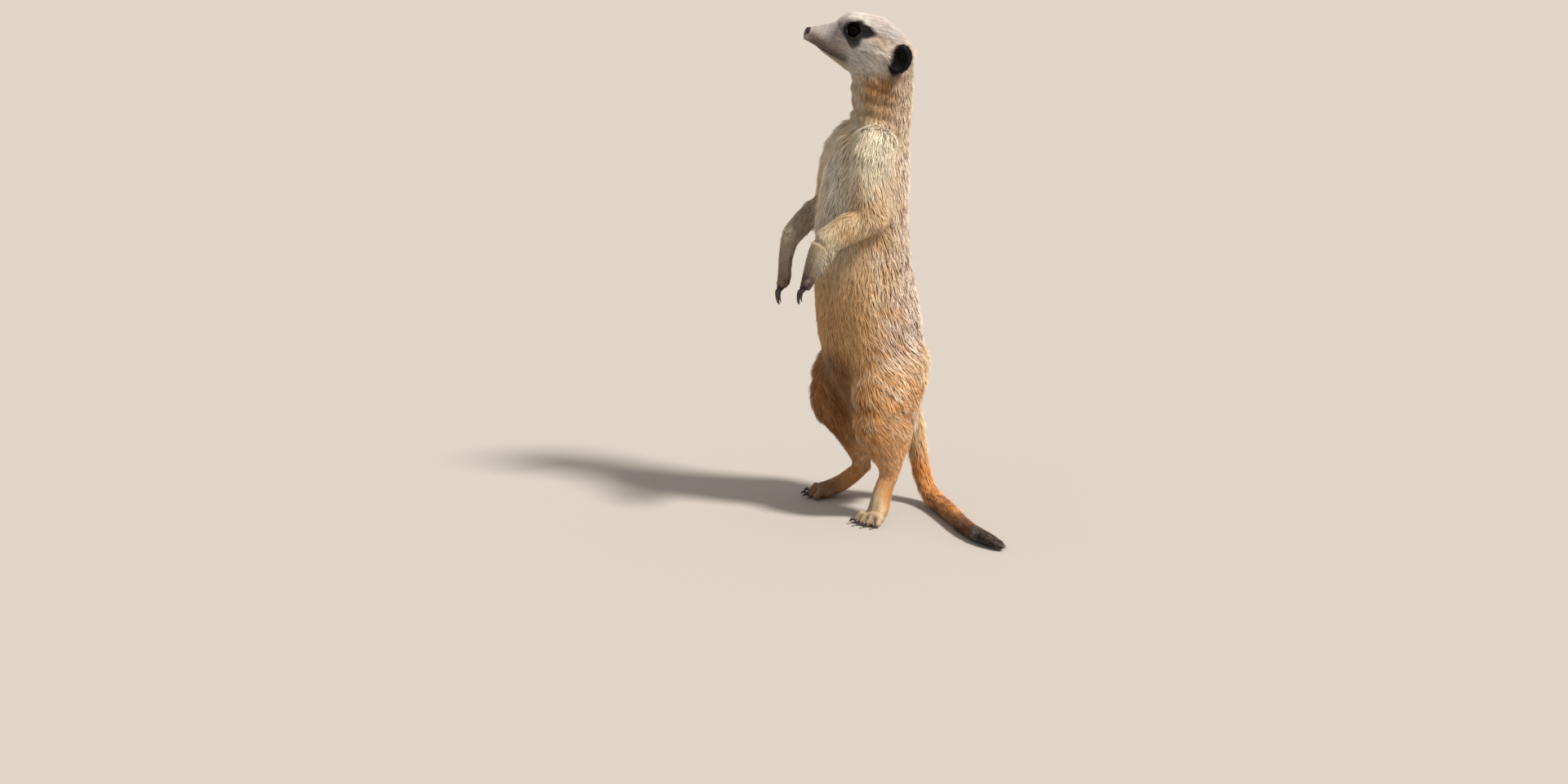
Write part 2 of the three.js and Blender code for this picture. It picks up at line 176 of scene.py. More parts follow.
def gather(index, values, count):
    """Sum of the rows of values that share an index, one bincount for each column."""
    columns = [np.bincount(index, values[:, k], count) for k in range(values.shape[1])]
    return np.stack(columns, 1)


def normals_of(points, triangles):
    """Point normals: the cross products of the triangles' edges, summed at their corners."""
    a, b, c = (points[triangles[:, k]] for k in range(3))
    face = np.cross(b - a, c - a)
    total = sum(gather(triangles[:, k], face, len(points)) for k in range(3))
    return unit(total)


def grid_faces(rows, columns, close=False):
    """Four corners for each cell of a grid of points; close joins the last column to the first."""
    r, c = np.meshgrid(np.arange(rows - 1), np.arange(columns - (not close)), indexing="ij")
    r, c, n = r.ravel(), c.ravel(), (c.ravel() + 1) % columns
    return np.stack([r * columns + c, r * columns + n, (r + 1) * columns + n,
                     (r + 1) * columns + c], 1)


def mesh_from(name, points, faces, uv=None, soft_normals=None, **attributes):
    """A new object at the origin. faces is an (m, 3) or (m, 4) array; uv has a pair for each
    point, soft_normals a direction that light is to see in place of the face's own, and each
    attribute one number, or a row of three for a colour, for each point."""
    mesh = bpy.data.meshes.new(name)
    sides = faces.shape[1]
    mesh.vertices.add(len(points))
    mesh.vertices.foreach_set("co", np.asarray(points, np.float32).ravel())
    mesh.loops.add(faces.size)
    mesh.loops.foreach_set("vertex_index", np.asarray(faces, np.int32).ravel())
    mesh.polygons.add(len(faces))
    mesh.polygons.foreach_set("loop_start", np.arange(0, faces.size, sides, dtype=np.int32))
    mesh.update(calc_edges=True)
    mesh.shade_smooth()
    for title, values in attributes.items():
        paint(mesh, title, values)
    if uv is not None:
        layer = mesh.uv_layers.new(name="OFBake")
        layer.uv.foreach_set("vector", np.asarray(uv, np.float32)[faces.ravel()].ravel())
    if soft_normals is not None:
        mesh.normals_split_custom_set_from_vertices(soft_normals)
    made = bpy.data.objects.new(name, mesh)
    bpy.context.scene.collection.objects.link(made)
    return made


def paint(mesh, title, values):
    """Stores one number, or one colour from three, at each point of a mesh."""
    values = np.asarray(values, np.float32)
    if values.ndim == 1:
        mesh.attributes.new(title, "FLOAT", "POINT").data.foreach_set("value", values)
        return
    rows = np.ones((len(values), 4), np.float32)
    rows[:, :3] = values
    mesh.attributes.new(title, "FLOAT_COLOR", "POINT").data.foreach_set("color", rows.ravel())


print("frame has", len(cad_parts), "solids with",
      sum(len(triangles_of(node.data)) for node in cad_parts.values()), "triangles")

# %% [markdown]
# ## One skin
#
# On the real animal the skin runs without a break from the nose to the toes and the tail, while
# the frame's flesh comes in twenty solids with thin gaps. There are three ways to close it:
# booleans, which are fragile where surfaces only just touch, metaballs, which lose the shape, or
# a voxel remesh, which draws one even surface round everything that overlaps. The voxel way is
# used here. Each solid's copy first swells by a quarter of a millimetre, so that neighbours do
# overlap, and each point keeps the number of its part, which the remesh carries over. The nose
# joins in as a bed for the pad that is laid on it later.

# %% Join the flesh and draw one surface round it
FLESH = sorted(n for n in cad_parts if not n.startswith(("eye_", "claw_", "nose")))
SWELL = 0.25 * MM
SKIN_VOXEL = 1.4 * MM


def merged(mesh):
    """Points and triangles with the doubled points made one, found by rounding them."""
    points, triangles = points_of(mesh), triangles_of(mesh)
    key = np.round(points / (0.001 * MM)).astype(np.int64)
    _, first, same = np.unique(key, axis=0, return_index=True, return_inverse=True)
    return points[first], same.ravel()[triangles]


all_points, all_triangles, all_parts = [], [], []
for name in [*FLESH, "nose"]:
    number = FLESH.index("head" if name == "nose" else name)
    points, triangles = merged(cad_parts[name].data)
    start = sum(len(p) for p in all_points)
    all_points.append(points + normals_of(points, triangles) * SWELL)
    all_triangles.append(triangles + start)
    all_parts.append(np.full(len(points), float(number)))
skin = mesh_from("skin", np.vstack(all_points), np.vstack(all_triangles),
                 part=np.concatenate(all_parts))
skin.data.remesh_voxel_size = SKIN_VOXEL
skin.data.remesh_voxel_adaptivity = 0
skin.data.use_remesh_preserve_attributes = True
bpy.context.view_layer.objects.active = skin
skin.select_set(True)
bpy.ops.object.voxel_remesh()
print("skin drawn round", len(FLESH), "solids:", len(skin.data.polygons), "faces")

# %% [markdown]
# ## Finer where it matters
#
# A face needs smaller faces than a flank. Splitting only some edges leaves no crack, because
# bmesh fills the border with triangles. The head, the ears and the hands are split once, and the
# lids and lips once more.

# %% Split the head and hands
def split_faces(mesh, chosen):
    """Cuts every edge whose two ends are chosen in half, and makes all faces triangles."""
    work = bmesh.new()
    work.from_mesh(mesh)
    work.verts.ensure_lookup_table()
    flags = chosen.tolist()
    edges = [e for e in work.edges if flags[e.verts[0].index] and flags[e.verts[1].index]]
    bmesh.ops.subdivide_edges(work, edges=edges, cuts=1, use_grid_fill=True)
    bmesh.ops.triangulate(work, faces=work.faces[:])
    work.to_mesh(mesh)
    work.free()


def part_numbers(mesh):
    """The part number of each point, as the remesh and the split left it."""
    flat = np.empty(len(mesh.vertices), np.float32)
    mesh.attributes["part"].data.foreach_get("value", flat)
    return np.round(flat).astype(int)


FINE = [FLESH.index(n) for n in FLESH if n.startswith(("head", "ear", "hand"))]
split_faces(skin.data, np.isin(part_numbers(skin.data), FINE))
places = in_head(points_of(skin.data))
by_lid = np.linalg.norm(np.abs(places) - [14, 0, 0], axis=1) < 8.5
by_lip = (places[:, 1] < 3) & (np.abs(places[:, 2] + 19.5) < 3.2)
split_faces(skin.data, by_lid | by_lip)
skin_points = points_of(skin.data)
skin_triangles = triangles_of(skin.data)
print("skin has", len(skin_triangles), "triangles")

# %% [markdown]
# ## Soft borders between the parts
#
# Fur lies along the arm, the neck or the tail it grows on, so each point of the skin has to know
# its part, and near a joint it has to know both. One column is kept for each part, with 1 where
# the point belongs to it. Averaging each point with its neighbours many times lets the columns
# run into each other, as ink does on wet paper, and gives a soft share for each part.

# %% Neighbours and shares
def edges_of(triangles):
    """Each edge of the triangles once, from the sorted pairs of their corners."""
    pairs = np.vstack([triangles[:, [0, 1]], triangles[:, [1, 2]], triangles[:, [2, 0]]])
    return np.unique(np.sort(pairs, 1), axis=0)


skin_edges = edges_of(skin_triangles)
edge_ends = np.concatenate([skin_edges[:, 0], skin_edges[:, 1]])
edge_others = np.concatenate([skin_edges[:, 1], skin_edges[:, 0]])
edge_count = np.bincount(edge_ends, minlength=len(skin_points))[:, None]


def spread(values, rounds, amount=0.5):
    """Moves each row by a share of the way to the mean of its neighbours' rows, some rounds."""
    flat = values.ndim == 1
    rows = values[:, None] if flat else values
    for _ in range(rounds):
        mean = gather(edge_ends, rows[edge_others], len(rows)) / edge_count
        rows = rows + (mean - rows) * amount
    return rows[:, 0] if flat else rows


def moved_out(points, amount):
    """Skin points moved along their normals by an amount in metres, inwards where it is below 0."""
    return points + normals_of(points, skin_triangles) * amount[:, None]


own_part = part_numbers(skin.data)
share = spread((own_part[:, None] == np.arange(len(FLESH))).astype(float), 10, 0.8)
part_share = {name: share[:, number] for number, name in enumerate(FLESH)}


def shares(*starts):
    """The share of all parts whose names start so, at each point of the skin."""
    return sum(values for name, values in part_share.items() if name.startswith(starts))


def step(low, high, values):
    """A smooth rise from 0 at low to 1 at high: the cubic 3t^2 - 2t^3."""
    t = np.clip((values - low) / (high - low), 0, 1)
    return t * t * (3 - 2 * t)


drawn_points = skin_points
thin = shares("hand", "foot") + shares("head") * step(-14, -20, in_head(skin_points)[:, 1])
firm = 1 - 0.75 * np.clip(thin, 0, 1)[:, None]
skin_points = spread(skin_points, 3, 0.5 * firm)

print("soft shares for", len(part_share), "parts over", len(skin_points), "points")

# %% [markdown]
# ## Loose skin over the corners
#
# On the live animal loose skin bridges the corners where a limb meets the body. So on the limbs'
# roots and the trunk, the smoothing is let through only where it moves the skin outwards.

# %% Bridge the corners
BRIDGING_ROUNDS = 140
bridged = shares("trunk", "neck", "upper_arm", "thigh", "tail_base")
bridged = bridged + shares("shank") * step(30, 44, (skin_points[:, 2] - MIDDLE[2]) / MM)
bridged = bridged + shares("head") * step(0, 8, in_head(skin_points)[:, 1])
for _ in range(BRIDGING_ROUNDS):
    outwards = normals_of(skin_points, skin_triangles)
    towards_mean = spread(skin_points, 1, 1.0) - skin_points
    out = np.clip((towards_mean * outwards).sum(1), 0, None) * np.clip(bridged, 0, 1)
    skin_points = skin_points + outwards * (out * 0.9)[:, None]
skin_points = spread(skin_points, 2, 0.5 * firm)
print("skin moved by up to",
      (np.linalg.norm(skin_points - drawn_points, axis=1).max() / MM).round(1), "mm")

# %% [markdown]
# ## How deep the coat is
#
# The solids are the animal with its coat on, so the skin lies inside them by the depth of the
# coat. That depth is a few millimetres on the back and neck, and next to nothing on the nose,
# the ears and the fingers. Each part has its own depth and hair length at its near and far end.

# %% Depth and length of the hair
def along(part_start, part_end, points):
    """How far each point is along the line between two body places, from 0 to 1."""
    a, b = on_body(part_start), on_body(part_end)
    return np.clip((points - a) @ (b - a) / ((b - a) @ (b - a)), 0, 1)


def patch(points, middle, radii):
    """A soft spot: the bell curve of the distance from the middle, measured in radii."""
    return np.exp(-((((points - middle) / radii) ** 2).sum(1)))


# part: near end, far end, depth at each end, hair length at each end, in millimetres
COAT_OF = {
    "trunk": ([0, 5, 236], [0, 15, 56], 2.9, 3.6, 9.5, 11.5),
    "neck": ([2, 10, 283], [0, 5, 226], 2.0, 3.0, 5.0, 8.5),
    "head": ([-12, -28, 294], [-2, 12, 300], 0.5, 1.8, 1.8, 4.0),
    "ear_left": ([14, 8, 290], [14, 16, 290], 0.3, 0.3, 2.2, 2.2),
    "ear_right": ([-16, 20, 290], [-16, 30, 290], 0.3, 0.3, 2.2, 2.2),
    "upper_arm_left": ([17, -2, 240], [30, -12, 191], 2.8, 2.2, 7.5, 7.5),
    "upper_arm_right": ([-16, 0, 236], [-30, -12, 191], 2.8, 2.2, 7.5, 7.5),
    "forearm_left": ([30, -9, 193], [27, -44, 179], 1.8, 1.1, 6.5, 4.0),
    "forearm_right": ([-30, -9, 192], [-23, -43, 173], 1.7, 1.1, 6.5, 4.0),
    "hand_left": ([27, -45, 178], [25, -55, 156], 1.0, 0.3, 3.6, 1.4),
    "hand_right": ([-23, -44, 172], [-22, -49, 147], 0.9, 0.3, 3.6, 1.4),
    "thigh_left": ([12, 15, 108], [29, -7, 72], 3.4, 2.8, 11.0, 9.5),
    "thigh_right": ([-12, 15, 108], [-28, -12, 75], 3.4, 2.8, 7.5, 6.5),
    "shank_left": ([29, -9, 75], [32, -1, 28], 2.6, 0.9, 8.5, 3.6),
    "shank_right": ([-29, -15, 75], [-30, 10, 22], 2.6, 0.9, 8.5, 3.6),
    "foot_left": ([32, -1, 29], [40, -20, 4], 0.8, 0.3, 3.2, 1.5),
    "foot_right": ([-30, 11, 21], [-35, -18, 4], 0.8, 0.3, 3.2, 1.5),
    "tail_base": ([0, 20, 70], [6, 35, 15], 3.0, 1.9, 10.0, 7.5),
    "tail_middle": ([6, 35, 15], [76, 26, 5], 1.6, 1.3, 6.0, 5.0),
    "tail_tip": ([76, 26, 5], [126, 27, 4], 1.3, 1.0, 5.0, 5.0),
}
far = {name: along(COAT_OF[name][0], COAT_OF[name][1], skin_points) for name in FLESH}
hair_depth, hair_length = (
    sum(part_share[n] * (COAT_OF[n][k] + (COAT_OF[n][k + 1] - COAT_OF[n][k]) * far[n])
        for n in FLESH)
    for k in (2, 4)
)
print("table of", len(COAT_OF), "parts; mean hair length", hair_length.mean().round(1), "mm")

# %% [markdown]
# ## Where the coat differs
#
# Soft patches change the table's numbers where the body does. On the belly, the muzzle and the
# throat the coat is thin and short, on the cheek it is fuller, and the back edge of the left wrist
# has a long pale fringe. By the eye it is shortest, so that no hair hangs over the lids.

# %% Thin places, cheek and fringe
in_body = (skin_points - MIDDLE) / MM
in_face = in_head(skin_points)
side = np.abs(in_face[:, 0])
belly = shares("trunk") * step(-8, -24, in_body[:, 1]) * step(200, 165, in_body[:, 2])
hair_depth = hair_depth * (1 - 0.5 * belly)
hair_length = hair_length * (1 - 0.3 * belly)
muzzle = shares("head") * step(-6, -14, in_face[:, 1])
cheek = shares("head") * patch(in_face, [0, 18, -14], [40, 12, 9])
hair_depth = hair_depth * (1 - 0.55 * muzzle) + 0.6 * cheek
hair_length = hair_length * (1 - 0.35 * muzzle) + 1.0 * cheek
FRINGE_SIDE = np.array([0.62, 0.78, -0.2])


def wrist_fringe(points, normals):
    """Where the long pale fringe grows: the back edge of the left wrist and hand."""
    facing = step(0.1, 0.7, normals @ unit(FRINGE_SIDE))
    place = sum(patch(points, on_body(p), [9 * MM, 5.5 * MM, 5.5 * MM])
                for p in ([28, -40, 172], [28, -43, 165]))
    return np.clip(1.4 * place * facing, 0, 1) * shares("forearm", "hand")


fringe = wrist_fringe(skin_points, normals_of(skin_points, skin_triangles))
FRINGE_EXTRA = 5.0
hair_length = hair_length + FRINGE_EXTRA * fringe
throat = shares("neck", "head") * step(0, -9, in_body[:, 1]) * step(288, 280, in_body[:, 2])
throat = np.clip(throat, 0, 1) * step(216, 232, in_body[:, 2])
hair_depth = hair_depth * (1 - 0.4 * throat)
hair_length = hair_length * (1 - 0.45 * throat)
by_the_eye = patch(np.column_stack([side, in_face[:, 1:]]), [12.6, 0, -1.5], [7, 7, 6])
hair_depth = hair_depth * (1 - 0.75 * by_the_eye * shares("head"))
hair_length = hair_length * (1 - 0.5 * by_the_eye * shares("head"))
print("coat depth", hair_depth.min().round(2), "to", hair_depth.max().round(2), "mm, hair",
      hair_length.min().round(1), "to", hair_length.max().round(1), "mm")

# %% [markdown]
# ## The skin sinks
#
# The skin now moves inwards by the coat's depth. It goes in small steps and is smoothed between
# them, so that folds don't cross. All the smoothing draws thin parts in, so at the end the skin is
# let out again to its proper depth.

# %% Sink the skin
SINK_STEPS = 5
sink = spread(hair_depth, 6) * MM
for _ in range(SINK_STEPS):
    skin_points = moved_out(skin_points, -(sink + SWELL) / SINK_STEPS)
    skin_points = spread(skin_points, 2, 0.35 * np.clip(sink / MM, 0.25, 1)[:, None] * firm)
for rounds in (5, 2, 1):
    skin_normals = normals_of(skin_points, skin_triangles)
    too_deep = ((drawn_points - skin_points) * skin_normals).sum(1) - sink - SWELL
    too_deep = spread(np.clip(too_deep, 0, None), rounds)
    skin_points = skin_points + skin_normals * too_deep[:, None]
skin_points = spread(skin_points, 1, 0.3 * firm)
print("skin sunk by", (sink.min() / MM).round(2), "to", (sink.max() / MM).round(2), "mm")

# %% [markdown]
# ## The face
#
# A meerkat's mouth is a long thin line that sags a little and runs far back under the eye, with a
# full upper lip over it. From its corner a fold runs on under the cheek fur towards the ear.
# The brow stands over the eye like a visor. Such folds could be sculpted by hand, but a formula
# keeps both sides alike: each is a bell curve of the distance from a line on the head, and moves
# the skin in or out along its normals.

# %% Mouth, fold and brow
MOUTH_FRONT, MOUTH_CORNER = -24.0, 0.7


def wander(points, size, seed):
    """Smooth noise between about -1 and 1: six sine waves that run in chance directions, whose
    length is about the given size in metres."""
    draw = np.random.default_rng(seed)
    waves = unit(draw.normal(size=(6, 3))) * draw.uniform(0.6, 1.5, (6, 1)) * 2 * np.pi / size
    return np.sin(points @ waves.T + draw.uniform(0, 6.3, 6)).sum(1) / 2.4


def ridge(distance, width):
    """A bell curve of the distance from a line."""
    return np.exp(-((distance / width) ** 2))


def mouth_height(back):
    """The height of the mouth line at a place from front to back: a slow fall with a sag."""
    t = np.clip((back - MOUTH_FRONT) / (MOUTH_CORNER - MOUTH_FRONT), 0, 1.15)
    return -18.4 - 1.5 * t - 1.5 * np.sin(np.pi * np.clip(t, 0, 1))


def face_relief(h):
    """How far the skin moves out at each head place, in millimetres."""
    side, back, up = np.abs(h[:, 0]), h[:, 1], h[:, 2]
    over_lip = up - mouth_height(back)
    on_mouth = step(3.0, 0.6, back) * step(-27.5, -25, back)
    relief = -1.15 * ridge(over_lip, 0.55) * on_mouth
    relief += 0.45 * ridge(over_lip - 1.5, 1.1) * on_mouth
    relief -= 0.55 * step(-0.3, -1.6, over_lip) * on_mouth * step(-14, -21, up)
    fold = ridge(up + 20.6 + 0.04 * back, 0.9) * step(0, 3, back) * step(27, 16, back)
    relief -= 0.8 * fold * step(6, 10, side)
    relief += 0.7 * ridge(up + 17.6, 2.4) * step(2, 6, back) * step(26, 14, back)
    relief += 0.8 * ridge(up - 5.4 + 0.12 * back, 1.7) * ridge(back - 1, 7) * step(5, 9, side)
    relief -= (0.5 * ridge(up + 4.4 + 0.5 * (back + 9), 1.5) * ridge(back + 9, 3.2)
               * step(3, 6, side))
    relief += 0.35 * ridge(np.hypot(back + 18.5, up + 15.2), 4.2) * step(2, 4, side)
    return relief


head_only = shares("head", "neck")
relief = face_relief(in_head(skin_points)) * head_only * MM
skin_points = moved_out(skin_points, relief)
print("face relief from", (relief.min() / MM).round(2), "to", (relief.max() / MM).round(2), "mm")

# %% [markdown]
# ## The snout
#
# The snout is blunt and as wide as the nose on its end. The smoothing has made it thinner, so it is
# let out round the nose's own axis where its distance from that axis, in the nose's half sizes, is
# too small. The lip under the nose comes forward a little, too.

# %% Blunt the snout
NOSE_PLACE, NOSE_HALF = np.array([0, -24.6, -14.9]), np.array([3.7, 3.5, 3.4])
SNOUT_OUT, LIP_OUT = 3.1, 2.6
h = in_head(skin_points)
aside = (h - NOSE_PLACE) * [1, 0, 1]
round_nose = np.linalg.norm(aside / NOSE_HALF, axis=1)
wanted = 1.22 * step(-28, -24.5, h[:, 1]) + 0.05 * np.clip(h[:, 1] + 24, 0, 8)
let_out = np.clip(wanted - round_nose, 0, 0.6) * step(-8, -16, h[:, 1]) * shares("head")
skin_points = skin_points + (SNOUT_OUT * MM * let_out)[:, None] * (unit(aside) @ HEAD_ROTATION.T)
lip = patch(h, [0, -23.0, -18.9], [4.6, 4.2, 2.6]) * shares("head")
forward = unit([0, -1.0, -0.3]) @ HEAD_ROTATION.T
skin_points = skin_points + (LIP_OUT * MM * lip)[:, None] * forward
skin_points = spread(skin_points, 2, 0.3 * (step(-10, -16, h[:, 1]) * shares("head"))[:, None])
print("snout let out by up to", (SNOUT_OUT * let_out.max()).round(2), "mm")

# %% [markdown]
# ## A bed for the lids
#
# Round each eye the skin is opened as far as the lid's rim and lifted to lie against it. Its
# height along the line of sight falls evenly with the distance from that line.

# %% Open the skin round the eyes
LID_OUT, LID_BED = 4.15, 3.35
for which in range(2):
    out, rise, away = about_eye(skin_points, which)
    ahead = step(-0.5, 1.5, rise)
    skin_points = skin_points + away * (np.clip(LID_OUT - out, 0, 2.5) * ahead * MM)[:, None]
    wanted = LID_BED - 0.55 * (out - LID_OUT)
    lift = np.clip(wanted - rise, 0, 2.2) * step(10.5, 6.5, out) * ahead
    skin_points = skin_points + GAZES[which] * (lift * MM)[:, None]
    skin_points = spread(skin_points, 3, 0.5 * (step(11, 8, out) * ahead)[:, None])
    print("eye", which, "skin lifted by up to", lift.max().round(2), "mm")

# %% [markdown]
# ## Folds of the neck
#
# The neck's loose skin lies in soft crosswise folds under the fur where the head is turned: a sine
# wave up the neck, bent by chance, on its front and sides but not at the very throat.

# %% Fold the neck
in_body = (skin_points - MIDDLE) / MM
FOLD_PITCH, FOLD_HEIGHT = 8.5, 0.4
wave = in_body[:, 2] + 0.35 * in_body[:, 1] + 1.3 * wander(skin_points, 30 * MM, 3)
folds = FOLD_HEIGHT * np.sin(wave * 2 * np.pi / FOLD_PITCH) * shares("neck")
folds = folds * step(14, 4, in_body[:, 1]) * step(-15, -8, in_body[:, 1])
skin_points = moved_out(skin_points, folds * MM)
print("folds up to", folds.max().round(2), "mm high")

# %% [markdown]
# ## Digits
#
# The frame's paws are whole, so the skin dips between two digits: along the line that starts
# halfway between their claws' roots and runs backwards.

# %% Dip the skin between the digits
DIP_DEPTH = 0.9
DIGITS = {paw: [n for n in sorted(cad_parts) if n.startswith("claw_" + paw)]
          for paw in ("hand_left", "hand_right", "foot_left", "foot_right")}


def claw_ends(name):
    """The root and the tip of a claw: the tip is its point farthest from the paw's middle."""
    points = points_of(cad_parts[name].data)
    hold = np.mean([np.array(v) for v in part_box(name.replace("claw_", "")[:-2])], 0)
    tip = points[np.linalg.norm(points - hold, axis=1).argmax()]
    from_tip = np.linalg.norm(points - tip, axis=1)
    root = points[from_tip > 0.8 * from_tip.max()].mean(0)
    return root, tip


between_digits = np.zeros(len(skin_points))
for paw, claws in DIGITS.items():
    reach_back, depth_there = (9, 1.0) if "foot" in paw else (7, 0.35)
    ends = [claw_ends(name) for name in claws]
    for (root_a, tip_a), (root_b, tip_b) in zip(ends, ends[1:]):
        front = (root_a + root_b) / 2
        back = unit((root_a - tip_a) + (root_b - tip_b))
        s = np.clip((skin_points - front) @ back / MM, -3, reach_back)
        gap = np.linalg.norm(skin_points - front - s[:, None] * back * MM, axis=1) / MM
        line = ridge(gap - 1.6, 1.5) * step(reach_back, reach_back - 4, s) * depth_there
        between_digits = np.maximum(between_digits, line * part_share[paw])
skin_points = moved_out(skin_points, -DIP_DEPTH * between_digits * MM)
print("dips between", sum(len(claws) for claws in DIGITS.values()), "digits")

# %% [markdown]
# ## Which way the hair lies
#
# Hair lies away from the nose: back over the head, down the neck and trunk, out along each limb
# and along the tail. So each part has a path that runs the way its hair does, and each skin point
# takes the direction of the nearest stretch of its own part's path.

# %% Paths of the hair
LIMB_PATHS = {
    "trunk": [[0, 5, 236], [0, -4, 200], [0, -5, 170], [0, -3, 138], [0, 3, 99], [0, 11, 68],
              [0, 17, 48]],
    "neck": [[2, 10, 283], [0, 9, 262], [0, 7, 242], [0, 5, 226]],
    "upper_arm": [[20, -2, 238], [26, -12, 219], [29, -13, 204], [30, -11, 188]],
    "forearm": [[30, -6, 194], [29.6, -20, 189], [28.6, -33, 183], [26, -45, 176]],
    "hand": [[26, -44, 178], [25.5, -49, 168], [25, -52, 158], [24, -54, 144]],
    "thigh": [[20, 3, 110], [25, 3, 92], [28, 3, 72]],
    "shank": [[29, -9, 76], [30, -6, 60], [31, -2, 44], [31, 2, 26]],
    "foot": [[31, 2, 26], [34, -8, 13], [38, -16, 4], [42, -26, 3]],
    "tail": [[0, 20, 70], [0, 28.5, 54], [0.4, 32.6, 39], [2, 34.2, 26], [6, 35.2, 14.6],
             [15, 35.4, 7.6], [30, 34.4, 5.7], [52, 31, 5.4], [76, 26.5, 5], [98, 24, 4.7],
             [113, 24.5, 4.5], [130, 28, 3.6]],
}
HEAD_PATH = [[0, -26, -14], [0, -14, -11], [0, -2, -8], [0, 12, -7], [0, 26, -9], [0, 35, -22]]
MIRROR = np.array([-1, 1, 1])


def path_direction(path, points, reach):
    """The directions of a path's stretches, averaged with the bell curve of the distance from
    each point to each stretch's middle."""
    ends = np.asarray(path, float)
    middles, directions = (ends[1:] + ends[:-1]) / 2, unit(ends[1:] - ends[:-1])
    gap = ((points[:, None] - middles) ** 2).sum(2)
    weight = np.exp(-(gap - gap.min(1, keepdims=True)) / (2 * reach ** 2))
    return unit(weight @ directions)


def path_of(name):
    """The path of a part, in frame metres, mirrored for the right side."""
    if name.startswith(("head", "ear")):
        return on_head(HEAD_PATH)
    stem = name.removesuffix("_left").removesuffix("_right")
    path = np.array(LIMB_PATHS["tail" if stem.startswith("tail") else stem], float)
    return on_body(path * MIRROR if name.endswith("_right") else path)


lie = np.zeros_like(skin_points)
for name in FLESH:
    lie += part_share[name][:, None] * path_direction(path_of(name), skin_points, 9 * MM)
print("laid along", len(LIMB_PATHS) + 1, "paths")

# %% [markdown]
# ## Combing
#
# A groomer would then comb the places that differ, and so does the list of strokes: the shoulder
# sweeps forward and down round the arm, the rump and the low belly slant, the wrist's fringe
# hangs. Round the eyes the hair points away from the lids. The result is laid flat on the skin by
# taking away its share along the normal, and swayed a little by chance.

# %% Combing strokes
# place, direction, reach in mm, strength; each is used on the left and mirrored on the right
STROKES = [
    ([20, 0, 249], [0.3, -0.6, -0.75], 11, 3.5),
    ([26, -8, 236], [0.1, -0.6, -0.8], 9, 2.4),
    ([20, 8, 249], [0.35, -0.25, -0.9], 8, 3.0),
    ([24, 7, 243], [0.25, -0.25, -0.95], 8, 2.5),
    ([20, 18, 240], [0.1, 0.05, -1.0], 9, 2.0),
    ([27, -18, 226], [0.1, -0.5, -0.85], 7, 1.6),
    ([28, -20, 212], [0.0, 0.2, -1.0], 7, 1.5),
    ([31, 0, 222], [0.1, 0.4, -0.9], 9, 1.8),
    ([27, -41, 184], [0.0, -0.3, -0.95], 7, 2.5),
    ([31, -6, 204], [0.0, 0.5, -0.85], 9, 2.0),
    ([30, -2, 190], [0.0, 0.45, -0.9], 6, 1.5),
    ([27, 14, 222], [0.1, 0.25, -0.95], 10, 1.0),
    ([33, -24, 184], [0.1, 0.2, -0.95], 8, 1.8),
    ([33, -36, 178], [0.1, 0.45, -0.85], 8, 2.4),
    ([31, -43, 168], [0.1, 0.55, -0.8], 6, 2.0),
    ([10, -30, 108], [0.45, 0.45, -0.75], 16, 1.2),
    ([22, -20, 96], [0.35, 0.6, -0.7], 12, 1.2),
    ([26, 22, 92], [0.1, 0.5, -0.85], 16, 1.2),
    ([14, 30, 74], [0.05, 0.55, -0.85], 12, 1.0),
    ([30, 14, 62], [0.0, 0.35, -0.9], 12, 0.8),
    ([12, -30, 222], [-0.1, 0.1, -1.0], 10, 1.0),
    ([27, -41, 170], [0.25, 0.8, -0.6], 6, 2.5),
    ([23, -41, 165], [0.25, 0.8, -0.6], 5, 1.5),
    ([34, 0, 88], [0.0, 0.75, -0.65], 18, 2.0),
    ([36, 2, 66], [0.0, 0.7, -0.7], 14, 1.8),
    ([38, -4, 52], [0.0, 0.55, -0.85], 12, 1.2),
]
for place, direction, reach, strength in STROKES:
    for flip in (1, MIRROR):
        near = patch(skin_points, on_body(np.array(place) * flip), reach * MM * 1.4)
        lie += (strength * near)[:, None] * unit(np.array(direction) * flip)


def laid_flat(directions, normals):
    """Directions less their share along the normals, made unit length again."""
    return unit(directions - (directions * normals).sum(1, keepdims=True) * normals)


skin_normals = normals_of(skin_points, skin_triangles)
for which in range(2):
    out, rise, away = about_eye(skin_points, which)
    lie += (2.5 * ridge(out - 4.5, 2.2) * step(-1, 1, rise))[:, None] * away
lie = laid_flat(spread(laid_flat(lie, skin_normals), 14), skin_normals)
sway = np.radians(11) * wander(skin_points, 22 * MM, 5) + np.radians(7) * wander(
    skin_points, 8 * MM, 6)
lie = lie * np.cos(sway)[:, None] + np.cross(skin_normals, lie) * np.sin(sway)[:, None]
print("combed with", len(STROKES) * 2, "strokes")

# %% [markdown]
# ## Markings
#
# A meerkat is pale grey on the head with a black patch round each eye and black ears, cream on
# the throat, golden on the sides, grizzled and faintly banded on the back, and orange on the legs
# and tail, which ends dark. Each marking is a soft patch or a rise along some measure of the
# body, and colours are mixed one over the other like washes. They are worked out once at the
# skin's points, and every tuft takes over what its root has, so skin and coat agree.
#
# Colours are written as on a paint chart (two hex digits each for red, green and blue) and turned
# into the linear numbers that Blender's shaders use.

# %% Colours and washes
def tint(chart):
    """Linear red, green and blue from a hex colour: ((c + 0.055) / 1.055) to the power 2.4."""
    c = np.array([int(chart[k:k + 2], 16) for k in (0, 2, 4)]) / 255
    return np.where(c < 0.04045, c / 12.92, ((c + 0.055) / 1.055) ** 2.4)


